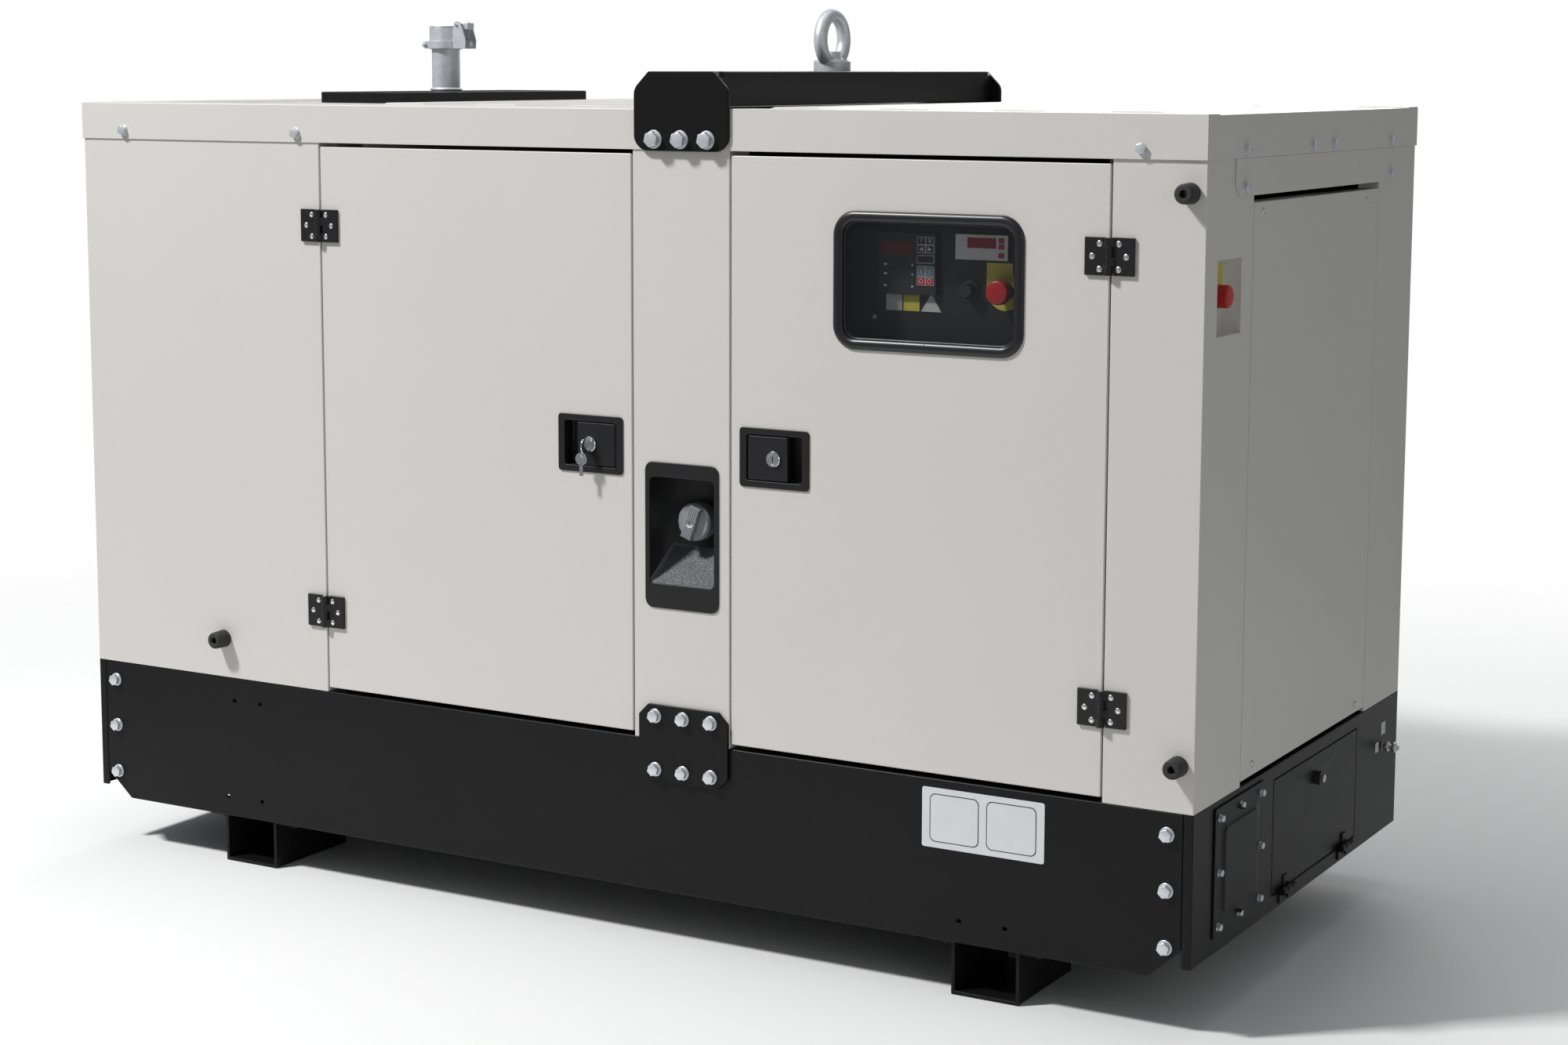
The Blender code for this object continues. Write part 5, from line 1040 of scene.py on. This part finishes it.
def engine_dress():
    """What is bolted to the engine and the radiator: manifolds, filters, injection and hoses."""
    bm = shape()
    casting, black, zinc, rubber, pale, hot = range(6)
    cylinders = [-0.61 + i * 0.145 for i in range(4)]

    # Rocker cover and exhaust manifold
    add_box(bm, (-0.66, -0.085, 0.9675), (-0.12, 0.085, 1.010), casting, 0.012)
    for x in cylinders:
        branch = [(x, -0.115, 0.925), (x, -0.175, 0.930), (x + 0.01, -0.205, 0.955)]
        add_tube(bm, curved(branch), 0.019, hot, 16)
        add_box(bm, (x - 0.030, -0.128, 0.897), (x + 0.030, -0.116, 0.953), hot, 0.002)
    add_tube(bm, [(-0.66, -0.205, 0.960), (-0.14, -0.205, 0.960)], 0.026, hot, 20)
    riser = [(-0.40, -0.205, 0.975), (-0.40, -0.205, 1.05), (-0.42, -0.10, 1.14), (-0.42, -0.02, 1.185)]
    add_tube(bm, curved(riser), 0.024, hot, 18)

    # Air filter with its hose and feet
    add_rod(bm, (-0.20, -0.255, 1.075), (0.06, -0.255, 1.075), 0.075, black, 40, 0.006)
    add_rod(bm, (-0.235, -0.255, 1.075), (-0.20, -0.255, 1.075), 0.045, black, 30, 0.004)
    intake = [(-0.235, -0.255, 1.075), (-0.30, -0.255, 1.075), (-0.33, -0.20, 1.06), (-0.33, -0.09, 1.03)]
    add_tube(bm, curved(intake), 0.028, rubber, 18)
    for x in (-0.135, 0.005):
        add_box(bm, (x - 0.010, -0.262, 0.9675), (x + 0.010, -0.250, 1.001), black, 0.001)

    # Oil filter, fuel filter and injection pump, with a line to each cylinder
    add_rod(bm, (-0.30, -0.255, 0.560), (-0.30, -0.255, 0.690), 0.042, black, 32, 0.006)
    add_box(bm, (-0.335, -0.285, 0.690), (-0.265, -0.2105, 0.730), casting, 0.004)
    add_rod(bm, (-0.46, -0.250, 0.640), (-0.46, -0.250, 0.755), 0.036, pale, 32, 0.005)
    add_box(bm, (-0.490, -0.275, 0.755), (-0.430, -0.2105, 0.790), casting, 0.004)
    add_box(bm, (-0.60, -0.2600, 0.770), (-0.35, -0.2105, 0.835), casting, 0.006)
    for i, end in enumerate(cylinders):
        x = -0.575 + i * 0.065
        line = [(x, -0.240, 0.835), (x + 0.004, -0.240, 0.870), (end, -0.170, 0.900),
                (end + 0.01, -0.121, 0.945)]
        add_tube(bm, curved(line), 0.0035, zinc, 10)

    # Pulleys and charging alternator
    add_rod(bm, (-0.735, 0, 0.610), (-0.722, 0, 0.610), 0.075, black, 36, 0.002)
    add_rod(bm, (-0.735, -0.215, 0.830), (-0.722, -0.215, 0.830), 0.035, zinc, 30, 0.002)
    add_rod(bm, (-0.720, -0.215, 0.830), (-0.610, -0.215, 0.830), 0.055, zinc, 30, 0.006)

    # Radiator: hoses with their clips, side rails, top tank and filler
    upper = [(-0.920, -0.22, 1.060), (-0.84, -0.22, 1.075), (-0.76, -0.14, 1.00), (-0.70, -0.10, 0.945)]
    lower = [(-0.920, -0.24, 0.440), (-0.84, -0.25, 0.430), (-0.77, -0.235, 0.50), (-0.70, -0.205, 0.56)]
    for hose in (upper, lower):
        add_tube(bm, curved(hose), 0.024, rubber, 18)
    for x, y, z in ((-0.905, -0.22, 1.062), (-0.905, -0.241, 0.438)):
        add_rod(bm, (x - 0.006, y, z), (x + 0.006, y, z), 0.0265, zinc, 28, 0.001)
    for y in (-0.345, 0.345):
        add_box(bm, (-0.9195, y - 0.012, 0.36), (-0.9000, y + 0.012, 1.11), black, 0.002)
    add_box(bm, (-0.9995, -0.300, 1.1275), (-0.9205, 0.300, 1.165), black, 0.008)
    add_rod(bm, (-0.960, -0.10, 1.165), (-0.960, -0.10, 1.185), 0.026, zinc, 28, 0.003)
    piece("engine_dress", bm, "set", [CASTING, MOULDED, ZINC, RUBBER_MATTE, PALE, EXHAUST])


def leads():
    """The alternator's cable, and the battery's red and black leads."""
    black, red = range(2)
    power = [(0.20, -0.16, 0.93), (0.26, -0.20, 0.98), (0.36, -0.20, 1.02), (0.418, -0.24, 1.05)]
    plus = [(0.650, 0.12, 0.560), (0.600, 0.08, 0.62), (0.300, 0.10, 0.44), (-0.10, 0.24, 0.47),
            (-0.14, 0.212, 0.56)]
    minus = [(0.910, 0.12, 0.560), (0.950, 0.06, 0.60), (0.990, 0.10, 0.45), (0.960, 0.20, 0.357)]
    bm = shape()
    add_tube(bm, curved(power), 0.016, black, 14)
    add_tube(bm, curved(plus), 0.0075, red, 12)
    add_tube(bm, curved(minus), 0.0075, black, 12)
    piece("leads", bm, "set", [RUBBER_MATTE, RED])


# ---- Studio ----
FLOOR_RADIUS = 4.5


def floor_finish():
    """A plain pale floor that fades into the background towards its edge."""
    material = surface("studio_floor", (0.80, 0.80, 0.80), 0.8, grain=(40.0, 0.0, 0.0001), mottle=(1.0, 0.0))
    nodes, links = material.node_tree.nodes, material.node_tree.links
    distance = nodes.new("ShaderNodeVectorMath")
    distance.operation = "LENGTH"
    links.new(nodes["Texture Coordinate"].outputs["Object"], distance.inputs[0])
    fade = nodes.new("ShaderNodeMapRange")
    fade.interpolation_type = "SMOOTHSTEP"
    set_inputs(fade, {"From Min": 1.3, "From Max": FLOOR_RADIUS * 0.9, "To Min": 1.0, "To Max": 0.0})
    links.new(distance.outputs["Value"], fade.inputs["Value"])
    links.new(fade.outputs["Result"], nodes["Principled BSDF"].inputs["Alpha"])
    return material


def studio():
    """The floor, four lamps that look at the middle of the set, and a white background."""
    bm = shape()
    bmesh.ops.create_circle(bm, cap_ends=True, segments=96, radius=FLOOR_RADIUS)
    floor = linked("floor", mesh_of(bm, "floor", [floor_finish()]))
    floor.location.z = -0.0005
    middle = Vector((0.1, 0, 0.8))
    lamps = (
        ("key", (-3.2, -4.1, 6.4), 0.8, 630),
        ("fill", (5.5, -3.0, 2.0), 3.0, 22),
        ("top", (0.0, 0.8, 5.5), 3.5, 40),
        ("rear", (-1.0, 5.5, 3.2), 3.2, 110),
    )
    for name, place, size, power in lamps:
        lamp = bpy.data.lights.new(name, "AREA")
        lamp.size = size
        lamp.energy = power
        obj = linked(name, lamp)
        obj.location = place
        obj.rotation_euler = (middle - Vector(place)).to_track_quat("-Z", "Y").to_euler()
    world = bpy.data.worlds.new("studio")
    bpy.context.scene.world = world
    world.use_nodes = True
    nodes, links = world.node_tree.nodes, world.node_tree.links
    nodes.clear()
    path = nodes.new("ShaderNodeLightPath")
    seen = set_inputs(nodes.new("ShaderNodeBackground"), {"Color": (1, 1, 1, 1)})
    lit = set_inputs(nodes.new("ShaderNodeBackground"), {"Color": (0.95, 0.97, 1.0, 1), "Strength": 0.26})
    mix, result = nodes.new("ShaderNodeMixShader"), nodes.new("ShaderNodeOutputWorld")
    links.new(path.outputs["Is Camera Ray"], mix.inputs["Fac"])
    links.new(lit.outputs[0], mix.inputs[1])
    links.new(seen.outputs[0], mix.inputs[2])
    links.new(mix.outputs[0], result.inputs["Surface"])
    bpy.context.scene.view_settings.view_transform = "Standard"


def camera():
    """The view from the front right, a little above the middle."""
    yaw, pitch, roll = math.radians(29.9138), math.radians(7.3877), math.radians(0.1622)
    forward = Vector((-math.sin(yaw) * math.cos(pitch), math.cos(yaw) * math.cos(pitch), -math.sin(pitch)))
    right = Vector((math.cos(yaw), math.sin(yaw), 0))
    up = right.cross(forward)
    level = right * math.cos(roll) + up * math.sin(roll)
    upright = up * math.cos(roll) - right * math.sin(roll)
    data = bpy.data.cameras.new("camera")
    data.lens = 64.148
    data.shift_y = -0.06
    obj = linked("camera", data)
    turn = Matrix((level, upright, -forward)).transposed().to_4x4()
    obj.matrix_world = Matrix.Translation((2.6001, -4.3354, 1.4638)) @ turn
    bpy.context.scene.camera = obj


canopy()
roof_laps()
door_linings()
door_gaskets()
wall_linings()
panel_screws()
hinges()
latches()
window()
instruments()
stop_buttons()
side_stop_plate()
filler()
base()
labels()
lifting()
exhaust()
buffers()
machinery()
studio()
camera()
